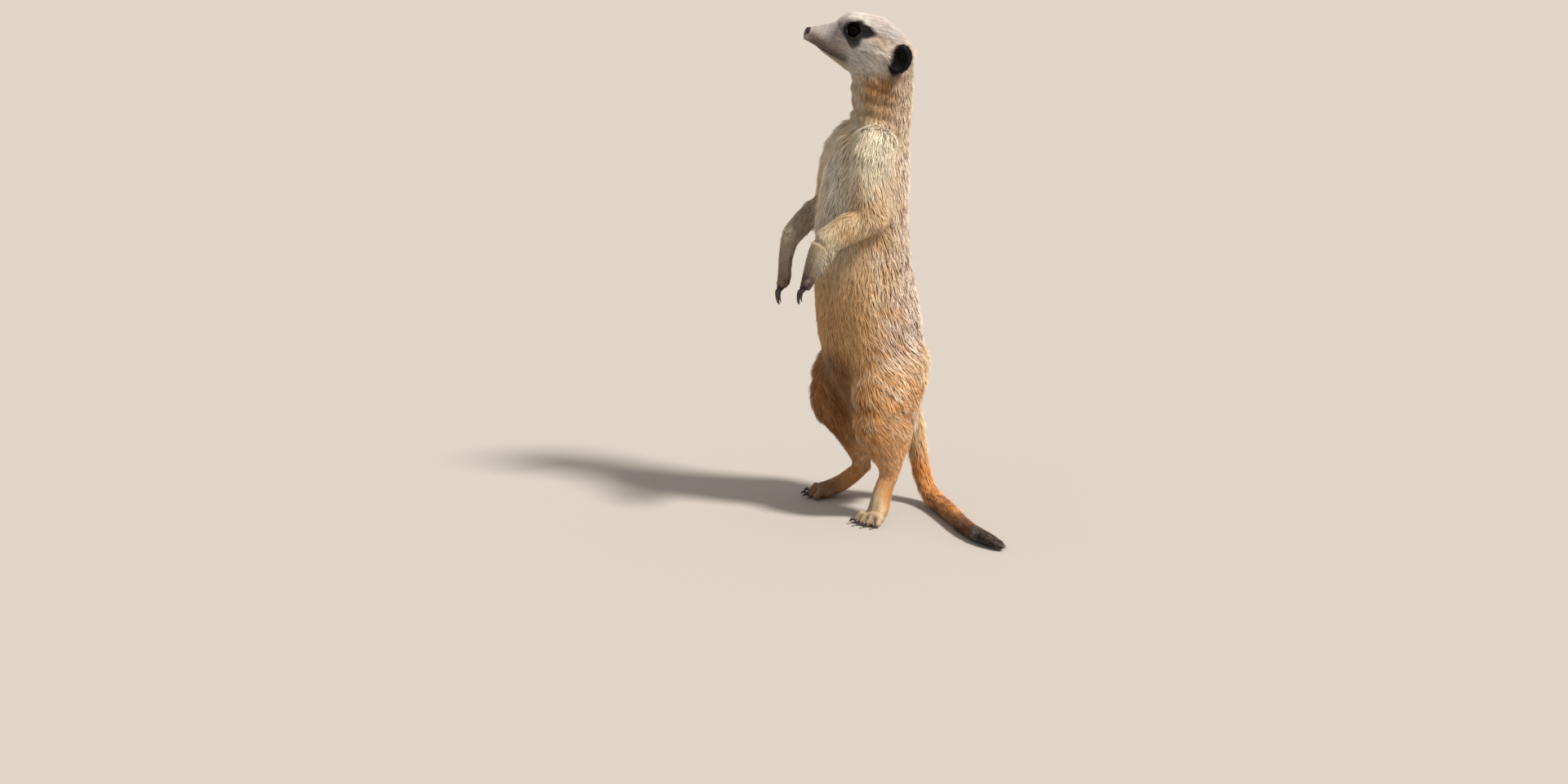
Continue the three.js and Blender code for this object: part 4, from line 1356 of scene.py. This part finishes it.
def lay_tufts(name, chosen, cover, path, seed, short=False, finish=coat_finish):
    """One piece of the coat, from all the roots in the chosen triangles."""
    draw = np.random.default_rng(seed)
    which, weights = roots(chosen, cover, draw)
    count = len(which)
    place, normal, flow = (at_roots(v, which, weights) for v in (skin_points, skin_normals, lie))
    normal = unit(normal)
    turn = draw.normal(0, np.radians(LEAN_DEGREES), count)[:, None]
    flow = laid_flat(flow, normal)
    flow = flow * np.cos(turn) + np.cross(normal, flow) * np.sin(turn)
    flow = unit(flow + 0.8 * at_roots(fringe, which, weights)[:, None] * normal)
    full_length = at_roots(hair_length, which, weights) * MM
    length = full_length * draw.uniform(0.7, 1.15, count)
    depth = at_roots(hair_depth, which, weights) * draw.uniform(0.5, 1.25, count) * MM
    lift = at_roots(fringe, which, weights) * draw.uniform(0, 1.5, count) * MM
    wide = at_roots(hair_width, which, weights) * draw.uniform(0.7, 1.2, count) * MM
    bend = at_roots(point_bend, which, weights)

    def above(part, height):
        """Places at a share of the length along the hair, at a height over the bent skin."""
        s = (length * part)[:, None]
        fall = bend[:, None] * s ** 2 / 2
        return place + flow * s + normal * (height[:, None] - fall)

    tip = above(1.0, depth + lift)
    lock, dash, lock_across = locks_of(place, normal, flow, full_length, draw)
    tip_across = (tip * lock_across).sum(1)
    lock_mean = (np.bincount(lock, tip_across) / np.bincount(lock))[lock]
    pull = lock_across * ((lock_mean - tip_across) * draw.uniform(0.3, 0.85, count))[:, None]
    tip = tip + pull
    lock_chance = draw.random(lock.max() + 1)[lock]
    lock_shade = draw.uniform(*LOCK_SHADES, lock.max() + 1)[lock]
    lock_shade = 1 + (lock_shade - 1) * at_roots(lock_contrast, which, weights)
    by_dash, by_hair = draw.random(dash.max() + 1)[dash], draw.random(count)
    flecked = 0.6 * by_dash + 0.4 * by_hair < np.sqrt(
        0.48 * at_roots(fleck_share, which, weights))
    across = unit(np.cross(normal, flow))

    def ring(middle, width):
        """Three points: two across the hair and a ridge above them."""
        half = across * (width / 2)[:, None]
        return [middle - half, middle + half, middle + normal * (width * 0.4)[:, None]]

    root_uv = unrolled(place, path) * (1 - TUFT_PATCH) + TUFT_PATCH / 2
    p = TUFT_PATCH / 2
    if short:
        points = np.stack([*ring(above(0, -0.1 * MM + 0 * depth), wide), tip], 1)
        template, strand = SHORT_TUFT, np.array([0, 0, 0, 1.0])
        corners = np.array([[-p, -p], [p, -p], [0, -p / 3], [0, p]])
    else:
        middle = above(0.5, depth * 0.62 + lift * 0.3) + pull * 0.35
        points = np.stack([*ring(above(0, -0.2 * MM + 0 * depth), wide),
                           *ring(middle, wide * 0.85), tip], 1)
        template, strand = LONG_TUFT, np.array([0, 0, 0, 0.5, 0.5, 0.5, 1.0])
        corners = np.array([[-p, -p], [p, -p], [0, -p * 0.6], [-p, 0.1 * p], [p, 0.1 * p],
                            [0, 0.4 * p], [0, p]])
    points[..., 2] = np.maximum(points[..., 2], LOWEST_HAIR)
    each = points.shape[1]
    light = np.repeat(normal[:, None], each, 1)
    for first in range(0, each - 1, 3):
        light[:, first] -= ROUNDING * across
        light[:, first + 1] += ROUNDING * across
    faces = (template[None] + each * np.arange(count)[:, None, None]).reshape(-1, 3)
    uv = (root_uv[:, None] + corners[None]).reshape(-1, 2)
    carried = {
        "coat_colour": at_roots(base_colour, which, weights) * lock_shade[:, None],
        "fleck": flecked.astype(float),
        "pale": at_roots(pale_share, which, weights),
        "grain": (lock_chance + draw.uniform(0, 0.04, count)) % 1,
    }
    made = mesh_from(name, points.reshape(-1, 3), faces, uv, unit(light).reshape(-1, 3),
                     strand=np.tile(strand, count),
                     **{k: np.repeat(v, each, axis=0) for k, v in carried.items()})
    made.data.materials.append(finish)
    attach(made, "root")
    print(f"{name}: {count} tufts, {len(faces)} triangles")
    return made


print("a long tuft has", len(LONG_TUFT), "triangles, a short one", len(SHORT_TUFT))

# %% [markdown]
# ## The pieces of the coat
#
# The coat is laid in pieces of under two hundred thousand triangles, one for each stretch of the
# body, so that each can be unrolled round its own path. The pieces share one set of skin values,
# so nothing changes where one ends and the next begins.

# %% Lay the coat
part_of_triangle = at_triangles(share).argmax(1)
triangle_middle = at_triangles(skin_points)
middle_body = (triangle_middle - MIDDLE) / MM
middle_head = in_head(triangle_middle)


def of_parts(*starts):
    """Triangles that belong mostly to parts whose names start so."""
    numbers = [k for k, n in enumerate(FLESH) if n.startswith(starts)]
    return np.isin(part_of_triangle, numbers)


def bare_places():
    """Triangles without hair: the nose's bed, the lids' bed, the mouth line and the soles."""
    nose_gap = np.linalg.norm((middle_head - NOSE_PLACE) / NOSE_HALF, axis=1)
    bare = (nose_gap < 1.08) | (middle_body[:, 2] < 1.2)
    for which in range(2):
        out, rise, _ = about_eye(triangle_middle, which)
        bare |= (out < LID_OUT + 0.1) & (rise > 0)
    over_lip = middle_head[:, 2] - mouth_height(middle_head[:, 1])
    on_line = (np.abs(over_lip) < 0.3) & (middle_head[:, 1] < 1) & (middle_head[:, 1] > -25)
    return bare | (on_line & of_parts("head"))


haired = ~bare_places()
eye_patch = of_parts("head") & (at_triangles(on_eye_patch) > 0.5)
on_face = of_parts("head") & (middle_head[:, 1] < 4) & (middle_head[:, 2] < 1)
trunk_triangles, height = of_parts("trunk"), middle_body[:, 2]
COVER = 3.0
COAT = [  # name, triangles, path, slot, cover, short tufts
    ("coat_chest", trunk_triangles & (height > 178), "trunk", "grizzled_fur", COVER, False),
    ("coat_waist", trunk_triangles & (height <= 178) & (height > 122), "trunk", "grizzled_fur",
     COVER, False),
    ("coat_hips", trunk_triangles & (height <= 122), "trunk", "grizzled_fur", COVER, False),
    ("coat_neck", of_parts("neck"), "neck", "tan_fur", COVER, False),
    ("coat_head", of_parts("head") & ~on_face & ~eye_patch, "head", "cream_fur", 2.75, True),
    ("coat_face", on_face & ~eye_patch, "head", "cream_fur", 2.0, True),
    ("coat_eye_patch", eye_patch, "head", "dark_fur", 1.8, True),
    ("coat_tail", of_parts("tail"), "tail", "orange_fur", 2.75, False),
    *((f"coat_arm_{s}", of_parts("upper_arm_" + s, "forearm_" + s), "forearm_" + s, "tan_fur",
       COVER, False) for s in ("left", "right")),
    *((f"coat_leg_{s}", of_parts("thigh_" + s, "shank_" + s), "shank_" + s, "tan_fur", COVER,
       False) for s in ("left", "right")),
    *((f"coat_{p}_{s}", of_parts(f"{p}_{s}"), f"{p}_{s}", slot, cover, True)
      for p, slot, cover in (("hand", "cream_fur", 1.65), ("foot", "cream_fur", 1.45),
                             ("ear", "dark_fur", 2.0)) for s in ("left", "right")),
]
whole = 0
for seed, (name, chosen, path, slot, cover, short) in enumerate(COAT):
    piece = lay_tufts(name, chosen & haired, cover, path_of(path), 100 + seed, short,
                      ear_finish if slot == "dark_fur" else coat_finish)
    whole += len(piece.data.polygons)
print("the whole coat:", whole, "triangles")

# %% [markdown]
# ## Closed shapes from rings
#
# Eyeballs, claws, whiskers, finger ends and the nose are all one kind of shape: rings of points
# carried along an axis, closed by a single point at each end. Lids are the other kind: a ring of
# rings, which closes on itself both ways, as a doughnut does. One function for each kind turns an
# array of rings into a mesh.

# %% Capped tubes and closed rings
def capped(rings, first, last):
    """Points and triangles of a tube through the rings, an (r, c, 3) array, whose two ends are
    closed by the points first and last."""
    r, c = rings.shape[:2]
    quads = grid_faces(r, c, close=True)
    around, following = np.arange(c), (np.arange(c) + 1) % c
    start, end = np.full(c, r * c), np.full(c, r * c + 1)
    faces = np.vstack([
        quads[:, [0, 1, 2]], quads[:, [0, 2, 3]],
        np.stack([start, following, around], 1),
        np.stack([end, (r - 1) * c + around, (r - 1) * c + following], 1),
    ])
    return np.vstack([rings.reshape(-1, 3), first, last]), faces


def doughnut(rings):
    """Points and triangles of rings joined in a circle, an (r, c, 3) array closed both ways."""
    r, c = rings.shape[:2]
    quads = grid_faces(r + 1, c, close=True) % (r * c)
    return rings.reshape(-1, 3), np.vstack([quads[:, [0, 1, 2]], quads[:, [0, 2, 3]]])


def outwards(points, faces):
    """The faces, turned round if they enclose a negative volume and so point inwards."""
    a, b, c = (points[faces[:, k]] for k in range(3))
    return faces if (a * np.cross(b, c)).sum() > 0 else faces[:, ::-1]


def add_piece(name, points, faces, finish, slot, replaces=(), **attributes):
    """A finished piece from numpy arrays: made, faced outwards, given its material and body."""
    made = mesh_from(name, points, outwards(points - points.mean(0), faces), **attributes)
    made.data.materials.append(finish)
    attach(made, "root")
    if replaces:
        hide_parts(*replaces)
    print(f"{name}: {len(faces)} triangles")
    return made


def basis_about(axis, up):
    """Three unit vectors as rows: the axis, one across it and one near up, square to it."""
    axis = unit(np.asarray(axis, float))
    across = unit(np.cross(up, axis))
    return np.stack([axis, across, np.cross(axis, across)])


def circle_in(across, up, count):
    """Points of the unit circle: the cosine of the angle across and its sine up."""
    phi = np.linspace(0, 2 * np.pi, count, endpoint=False)[:, None]
    return np.cos(phi) * across + np.sin(phi) * up


print("corners of a ring of 4:", circle_in(*np.eye(2), 4).round().tolist())

# %% [markdown]
# ## Eyes
#
# The eye is a ball with a clear bulge in front, the cornea. In life the iris is a dark brown
# ring with a wide, lying-down pupil, and both look almost black from outside. The colours follow
# the angle from the line of sight, which is stored at each point, so no texture is needed. The
# ring pattern is drawn by nodes: pupil, streaked iris, dark rim, then the hardly seen white. A
# thin clear coat gives a faint wet gleam.

# %% Eyeballs
CORNEA_BULGE, CORNEA_ANGLE, EYE_ROUND = 0.045, 0.62, 48
eye_finish, tree, shader = finish_named("wet_dark_eye", 0.3, 0.0, coat=0.05)
zones = node(tree, "ShaderNodeValToRGB", {"Fac": attribute(tree, "from_sight")})
ramp = zones.color_ramp
ramp.interpolation = "EASE"
for place, chart in ((0.0, "030304"), (0.19, "040405"), (0.24, "0A0706"), (0.38, "0E0908"),
                     (0.44, "050405"), (0.56, "060506"), (0.8, "100E0E")):
    stop = ramp.elements.new(place) if place else ramp.elements[0]
    stop.color = (*tint(chart), 1)
ramp.elements.remove(ramp.elements[-1])
mottle(tree, shader, zones.outputs["Color"], 700.0, 0.25)

for side_name, gaze, centre in zip(("left", "right"), GAZES, EYE_MIDDLES):
    axes = basis_about(gaze, HEAD_ROTATION @ [0, 0, 1])
    theta = np.linspace(0, np.pi, 34)[1:-1]
    radius = EYE_RADIUS * (1 + CORNEA_BULGE * np.exp(-((theta / CORNEA_ANGLE) ** 2)))
    along_gaze = (radius * np.cos(theta))[:, None, None] * axes[0]
    aside = (radius * np.sin(theta))[:, None, None] * circle_in(axes[1], axes[2], EYE_ROUND)
    ball, faces = capped(centre + along_gaze + aside,
                         centre + gaze * EYE_RADIUS * (1 + CORNEA_BULGE),
                         centre - gaze * EYE_RADIUS)
    sight = np.concatenate([np.repeat(theta, EYE_ROUND), [0, np.pi]]) / np.pi * 2
    add_piece("eyeball_" + side_name, ball, faces, eye_finish, "eye", ["eye_" + side_name],
              from_sight=sight)

# %% [markdown]
# ## Lids
#
# The lids are bare and nearly black, a rim about a millimetre thick that hugs the ball. Their
# section is a closed loop of points, given by the distance out from the line of sight and the
# height along it. The loop is carried round the eye while its size changes a little with the
# angle, which draws the corner in front and the flatter arch above.

# %% Lid rims
LID_SECTION = np.array([  # millimetres out from the line of sight, and along it
    [3.70, 3.22], [3.76, 3.50], [3.90, 3.68], [4.10, 3.70], [4.34, 3.52], [4.60, 3.15],
    [4.80, 2.60], [4.70, 2.10], [4.40, 1.90], [3.95, 2.55]])
lid_finish, tree, shader = finish_named("bare_dark_lid", 0.9, 0.0)
wrinkles = mottle(tree, shader, attribute(tree, "lid_colour", "Color"), 1500.0, 0.3)
roughen(tree, shader, wrinkles, 0.4, 0.0002)
for side_name, forward, gaze, centre in zip(("left", "right"), (-1, 1), GAZES, EYE_MIDDLES):
    axes = basis_about(gaze, HEAD_ROTATION @ [0, 0, 1])
    phi = np.linspace(0, 2 * np.pi, 72, endpoint=False)
    level, upright = np.cos(phi) * forward, np.sin(phi)
    stretch = 1 + 0.10 * level ** 2 + 0.10 * np.clip(level, 0, 1) ** 6 - 0.05 * upright ** 2
    hood = 0.35 * np.clip(upright, 0, 1)
    out = LID_SECTION[None, :, 0] * stretch[:, None]
    rise = LID_SECTION[None, :, 1] - 0.9 * (stretch[:, None] - 1) * LID_SECTION[None, :, 0]
    rise = rise + hood[:, None] * (LID_SECTION[None, :, 1] > 3.1)
    rings = centre + MM * (out[..., None] * circle_in(axes[1], axes[2], len(phi))[:, None]
                           + rise[..., None] * axes[0])
    lid, faces = doughnut(rings)
    # A pale spot at the lid's front corner is a painted gleam, partly the paler skin of the tear
    # corner.
    tear_corner = ridge(np.angle(np.exp(1j * (np.arctan2(upright, level) + 0.25))), 0.3)
    on_edge = ridge(np.arange(len(LID_SECTION)) - 2.0, 1.6)
    painted_gleam = (tear_corner[:, None] * on_edge).ravel()[:, None]
    add_piece("lid_" + side_name, lid, faces, lid_finish, "eye",
              lid_colour=tint("080607") * (1 - painted_gleam) + tint("A8989A") * painted_gleam)

# %% [markdown]
# ## Nose
#
# The nose pad is bare, moist and pebbled, with two comma-shaped nostrils that open to the sides
# and a groove down the middle. It is a ball given by its distance from the middle in each
# direction: an ellipsoid's, less a bell-shaped dent for each nostril and a thin one for the
# groove. The pebbling is a small Voronoi bump.

# %% Nose pad
NOSE_MIDDLE = on_head(NOSE_PLACE)
theta = np.linspace(0, np.pi, 42)[1:-1]
phi = np.linspace(0, 2 * np.pi, 64, endpoint=False)
toward = np.stack([np.sin(theta)[:, None] * np.cos(phi), -np.cos(theta)[:, None] + 0 * phi,
                   np.sin(theta)[:, None] * np.sin(phi)], -1)


def nose_reach(toward):
    """The distance from the pad's middle in a direction: a ball that is a little squared, by the
    power 2.7 in place of 2, with the dents taken off."""
    x, y, z = toward[..., 0], toward[..., 1], toward[..., 2]
    nostril = ridge(np.hypot(np.abs(x) - 0.52 - 0.25 * z, (z + 0.08) * 1.25), 0.21)
    comma = ridge(np.hypot(np.abs(x) - 0.80, (z + 0.30) * 1.6), 0.20)
    groove = ridge(x, 0.085) * step(0.30, -0.1, z)
    ahead = step(0.25, -0.1, y)
    square = (np.abs(toward) ** 2.7).sum(-1) ** (-1 / 2.7)
    return square * (1 - ahead * (0.34 * nostril + 0.20 * comma + 0.10 * groove))


shape = toward * nose_reach(toward)[..., None] * NOSE_HALF
ends = np.array([[0, -1.0, 0], [0, 1.0, 0]])
ends = ends * nose_reach(ends)[:, None] * NOSE_HALF
nose, faces = capped(*(NOSE_MIDDLE + MM * v @ HEAD_ROTATION.T for v in (shape, *ends)))
nose_finish, tree, shader = finish_named("moist_nose", 0.45, 0.3, coat=0.08)
mottle(tree, shader, (*tint("26141B"), 1), 1200.0, 0.3)
pebbles = node(tree, "ShaderNodeTexVoronoi", {"Vector": on_object(tree), "Scale": 2600.0})
roughen(tree, shader, pebbles.outputs["Distance"], 0.5, 0.0002, invert=True)
add_piece("nose_pad", nose, faces, nose_finish, "nose", ["nose"])

# %% [markdown]
# ## The ends of the fingers
#
# The hands' claws grow from dark, nearly bare finger ends, which are too small for the skin's even
# faces. So each is a short bent tube of its own: it starts inside the hand, passes halfway between
# the hand and the claw's root, and closes just over that root.

# %% Finger ends
FINGER_RADIUS = 1.5


def sheath_shape(name, paw_points):
    """A tube from inside the nearest place of the paw to just over the claw's root. With t from
    0 to 1 its radius falls as the square root of 1 - t^4."""
    root, tip = claw_ends(name)
    nearest = paw_points[np.linalg.norm(paw_points - root, axis=1).argsort()[:40]].mean(0)
    start = nearest + 2.5 * MM * unit(paw_points.mean(0) - nearest)
    end = root + 0.1 * (tip - root)
    t = np.linspace(0, 1, 12)[:, None]
    path = start * (1 - t) ** 2 + (nearest + root) * t * (1 - t) + end * t ** 2
    axes = basis_about(end - start, [1, 0, 0])
    circle = circle_in(axes[1], axes[2], 18)
    radius = FINGER_RADIUS * MM * np.sqrt(np.clip(1 - t ** 4, 0.12, 1))
    return capped(path[:, None] + radius[..., None] * circle, start, end)


digit_finish, tree, shader = finish_named("dark_digit_skin", 0.8, 0.2)
roughen(tree, shader, mottle(tree, shader, (*tint("2E2024"), 1), 1800.0, 0.4), 0.6, 0.0003)
for paw in ("hand_left", "hand_right"):
    paw_points = skin_points[part_share[paw] > 0.5]
    for name in DIGITS[paw]:
        sheath, faces = sheath_shape(name, paw_points)
        add_piece(name.replace("claw", "digit"), sheath, faces, digit_finish, "dark_fur")

# %% [markdown]
# ## Claws
#
# A meerkat digs with its hands, so their claws are long, dark and bent like a sickle, while those
# of the feet are short and blunt. Each one starts where the frame's claw does and ends at the
# same tip. Between them the path is a curve that bows away from the straight line, and the
# section is an oval, narrow across and deep, which thins along a quarter circle and ends in a
# point. Horn is smooth and glossy, with faint streaks along it.

# %% Claws
CLAW_INSIDE = 0.16
CLAW_SIZES = {"hand": (1.15, 0.9, 1.3), "foot": (1.15, 0.95, 0.7)}  # deep, narrow, bow, in mm
horn_finish, tree, shader = finish_named("dark_horn", 0.28, 0.5, coat=0.3)
streak_place = node(tree, "ShaderNodeMapping", {"Vector": on_object(tree),
                                                "Scale": (2600, 2600, 260)})
streak = node(tree, "ShaderNodeTexNoise", {"Vector": streak_place.outputs["Vector"],
                                           "Scale": 1.0, "Detail": 2.0})
horn = node(tree, "ShaderNodeValToRGB", {"Fac": streak.outputs["Fac"]})
horn.color_ramp.elements[0].position, horn.color_ramp.elements[1].position = 0.3, 0.75
horn.color_ramp.elements[0].color = (*tint("160A12"), 1)
horn.color_ramp.elements[1].color = (*tint("34202A"), 1)
tree.links.new(horn.outputs["Color"], shader.inputs["Base Color"])
roughen(tree, shader, streak.outputs["Fac"], 0.25, 0.0002)


def claw_shape(name, deep, narrow, bow):
    """A bent oval cone: its path goes from inside the digit to the tip with a bow of height
    4 t (1 - t); its half sizes swell from a narrow hidden root and then thin out to a point.
    The hidden root turns a millimetre inwards, to the digit's middle."""
    root, tip = claw_ends(name)
    run = tip - root
    points = points_of(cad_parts[name].data)
    along_run = (points - root) @ run / (run @ run)
    middle = points[(along_run > 0.2) & (along_run < 0.9)].mean(0) - root
    bulge = unit(middle - run * (middle @ run) / (run @ run))
    t = np.linspace(0, 0.975, 18)
    path = root - CLAW_INSIDE * run + ((1 + CLAW_INSIDE) * t)[:, None] * run + (
        (4 * t * (1 - t) * bow - 1.0 * step(0.25, 0, t)) * MM)[:, None] * bulge
    size = np.sqrt(1 - t ** 1.7) * (1 - 0.3 * t) * (0.55 + 0.45 * step(0, 0.3, t))
    phi = np.linspace(0, 2 * np.pi, 14, endpoint=False)
    across = unit(np.cross(run, bulge))
    keel = 1 + 0.18 * np.clip(np.cos(phi), 0, 1) ** 3
    rings = path[:, None] + MM * size[:, None, None] * (
        (np.cos(phi) * keel * deep)[:, None] * bulge + (np.sin(phi) * narrow)[:, None] * across)
    return capped(rings, path[0] - 0.02 * run, tip)


for name in sorted(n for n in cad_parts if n.startswith("claw_")):
    claw, faces = claw_shape(name, *CLAW_SIZES["hand" if "hand" in name else "foot"])
    add_piece("horn_" + name, claw, faces, horn_finish, "claw", [name])

# %% [markdown]
# ## Whiskers
#
# A few stiff dark hairs grow from the upper lip and over the eye. Each is a bent tube of small
# rings that thins to its tip: its path leaves the skin at an angle and droops by the square of
# the way along it.

# %% Whiskers
whisker_finish, tree, shader = finish_named("stiff_dark_hair", 0.5, 0.3)
shader.inputs["Base Color"].default_value = (*tint("2A2022"), 1)
WHISKER_RADIUS, WHISKER_LENGTHS = 0.08, (6, 11)
draw = np.random.default_rng(77)
starts = np.array([[4.0, -21.0, -15.6], [4.6, -19.0, -16.4], [5.0, -17.4, -15.0],
                   [5.4, -15.6, -16.6], [3.6, -22.2, -16.8], [6.4, -5.6, 3.4], [6.6, -4.6, 4.2]])
all_points, all_faces = [], []
for flip in (1, -1):
    for start in starts * [flip, 1, 1]:
        over = np.linalg.norm(in_head(skin_points) - start, axis=1).argmin()
        root, out = skin_points[over], skin_normals[over]
        heading = unit(out + HEAD_ROTATION @ [0, 1.6, draw.uniform(-0.3, 0.3)])
        length = draw.uniform(*WHISKER_LENGTHS) * MM
        t = np.linspace(0, 1, 9)[:, None]
        path = root - 0.4 * MM * out + heading * length * t + (
            HEAD_ROTATION @ [0, 0.25, -0.1]) * length * t ** 2
        circle = circle_in(*basis_about(heading, [0, 0, 1])[1:], 5)
        rings = path[:, None] + (WHISKER_RADIUS * MM * (1 - 0.85 * t))[..., None] * circle
        points, faces = capped(rings, path[0] - 0.05 * MM * heading, path[-1] + 0.1 * MM * heading)
        all_faces.append(faces + sum(len(p) for p in all_points))
        all_points.append(points)
add_piece("whiskers", np.vstack(all_points), np.vstack(all_faces), whisker_finish, "dark_fur")

# %% [markdown]
# ## Floor and light
#
# The floor is one pale sheet that curves up far behind, so no edge shows. The light is a soft
# high sun from behind on the right, broad enough to blur the shadow's edge, and a pale world that
# fills the shade.

# %% Floor, lamps and world
FLOOR_COLOUR, AIR_COLOUR, SUN_COLOUR = (0.372, 0.338, 0.305), (0.93, 0.92, 0.9), (1.0, 0.965, 0.92)
SUN_STRENGTH, SUN_WIDTH_DEGREES, SUN_HEADING = 5.5, 9, [-0.62, -0.46, -1.0]
AIR_STRENGTH = 0.62


def ground(across, forward, bend, rise):
    """A flat sheet whose far part climbs: height is (distance past the bend)^2 over the rise."""
    u, v = np.meshgrid(np.linspace(-across, across, 3), np.linspace(-forward, 3 * bend, 60))
    height = np.clip(v - bend, 0, None) ** 2 / rise
    return np.stack([u, v, height], -1)


sheet = ground(14, 6, 5, 4)
away = np.array([-towards_camera[0], -towards_camera[1]])
away = away / np.linalg.norm(away)
turned = sheet.copy()
turned[..., 0] = sheet[..., 0] * away[1] + sheet[..., 1] * away[0]
turned[..., 1] = -sheet[..., 0] * away[0] + sheet[..., 1] * away[1]
floor = mesh_from("floor", turned.reshape(-1, 3), grid_faces(60, 3))
floor_finish = bpy.data.materials.new("pale_floor")
floor_finish.use_nodes = True
floor_shader = floor_finish.node_tree.nodes["Principled BSDF"]
floor_shader.inputs["Base Color"].default_value = (*FLOOR_COLOUR, 1)
floor_shader.inputs["Roughness"].default_value = 0.9
floor.data.materials.append(floor_finish)

sun_data = bpy.data.lights.new("high_sun", "SUN")
sun_data.energy, sun_data.color = SUN_STRENGTH, SUN_COLOUR
sun_data.angle = np.radians(SUN_WIDTH_DEGREES)
sun = bpy.data.objects.new("high_sun", sun_data)
sun.rotation_euler = Vector(SUN_HEADING).to_track_quat("-Z", "Y").to_euler()
bpy.context.scene.collection.objects.link(sun)
world = bpy.data.worlds.new("pale_air")
world.use_nodes = True
world.node_tree.nodes["Background"].inputs["Color"].default_value = (*AIR_COLOUR, 1)
world.node_tree.nodes["Background"].inputs["Strength"].default_value = AIR_STRENGTH
bpy.context.scene.world = world
bpy.context.scene.view_settings.view_transform = "Standard"
print("floor", len(floor.data.polygons), "faces; sun", SUN_STRENGTH, "air", AIR_STRENGTH)
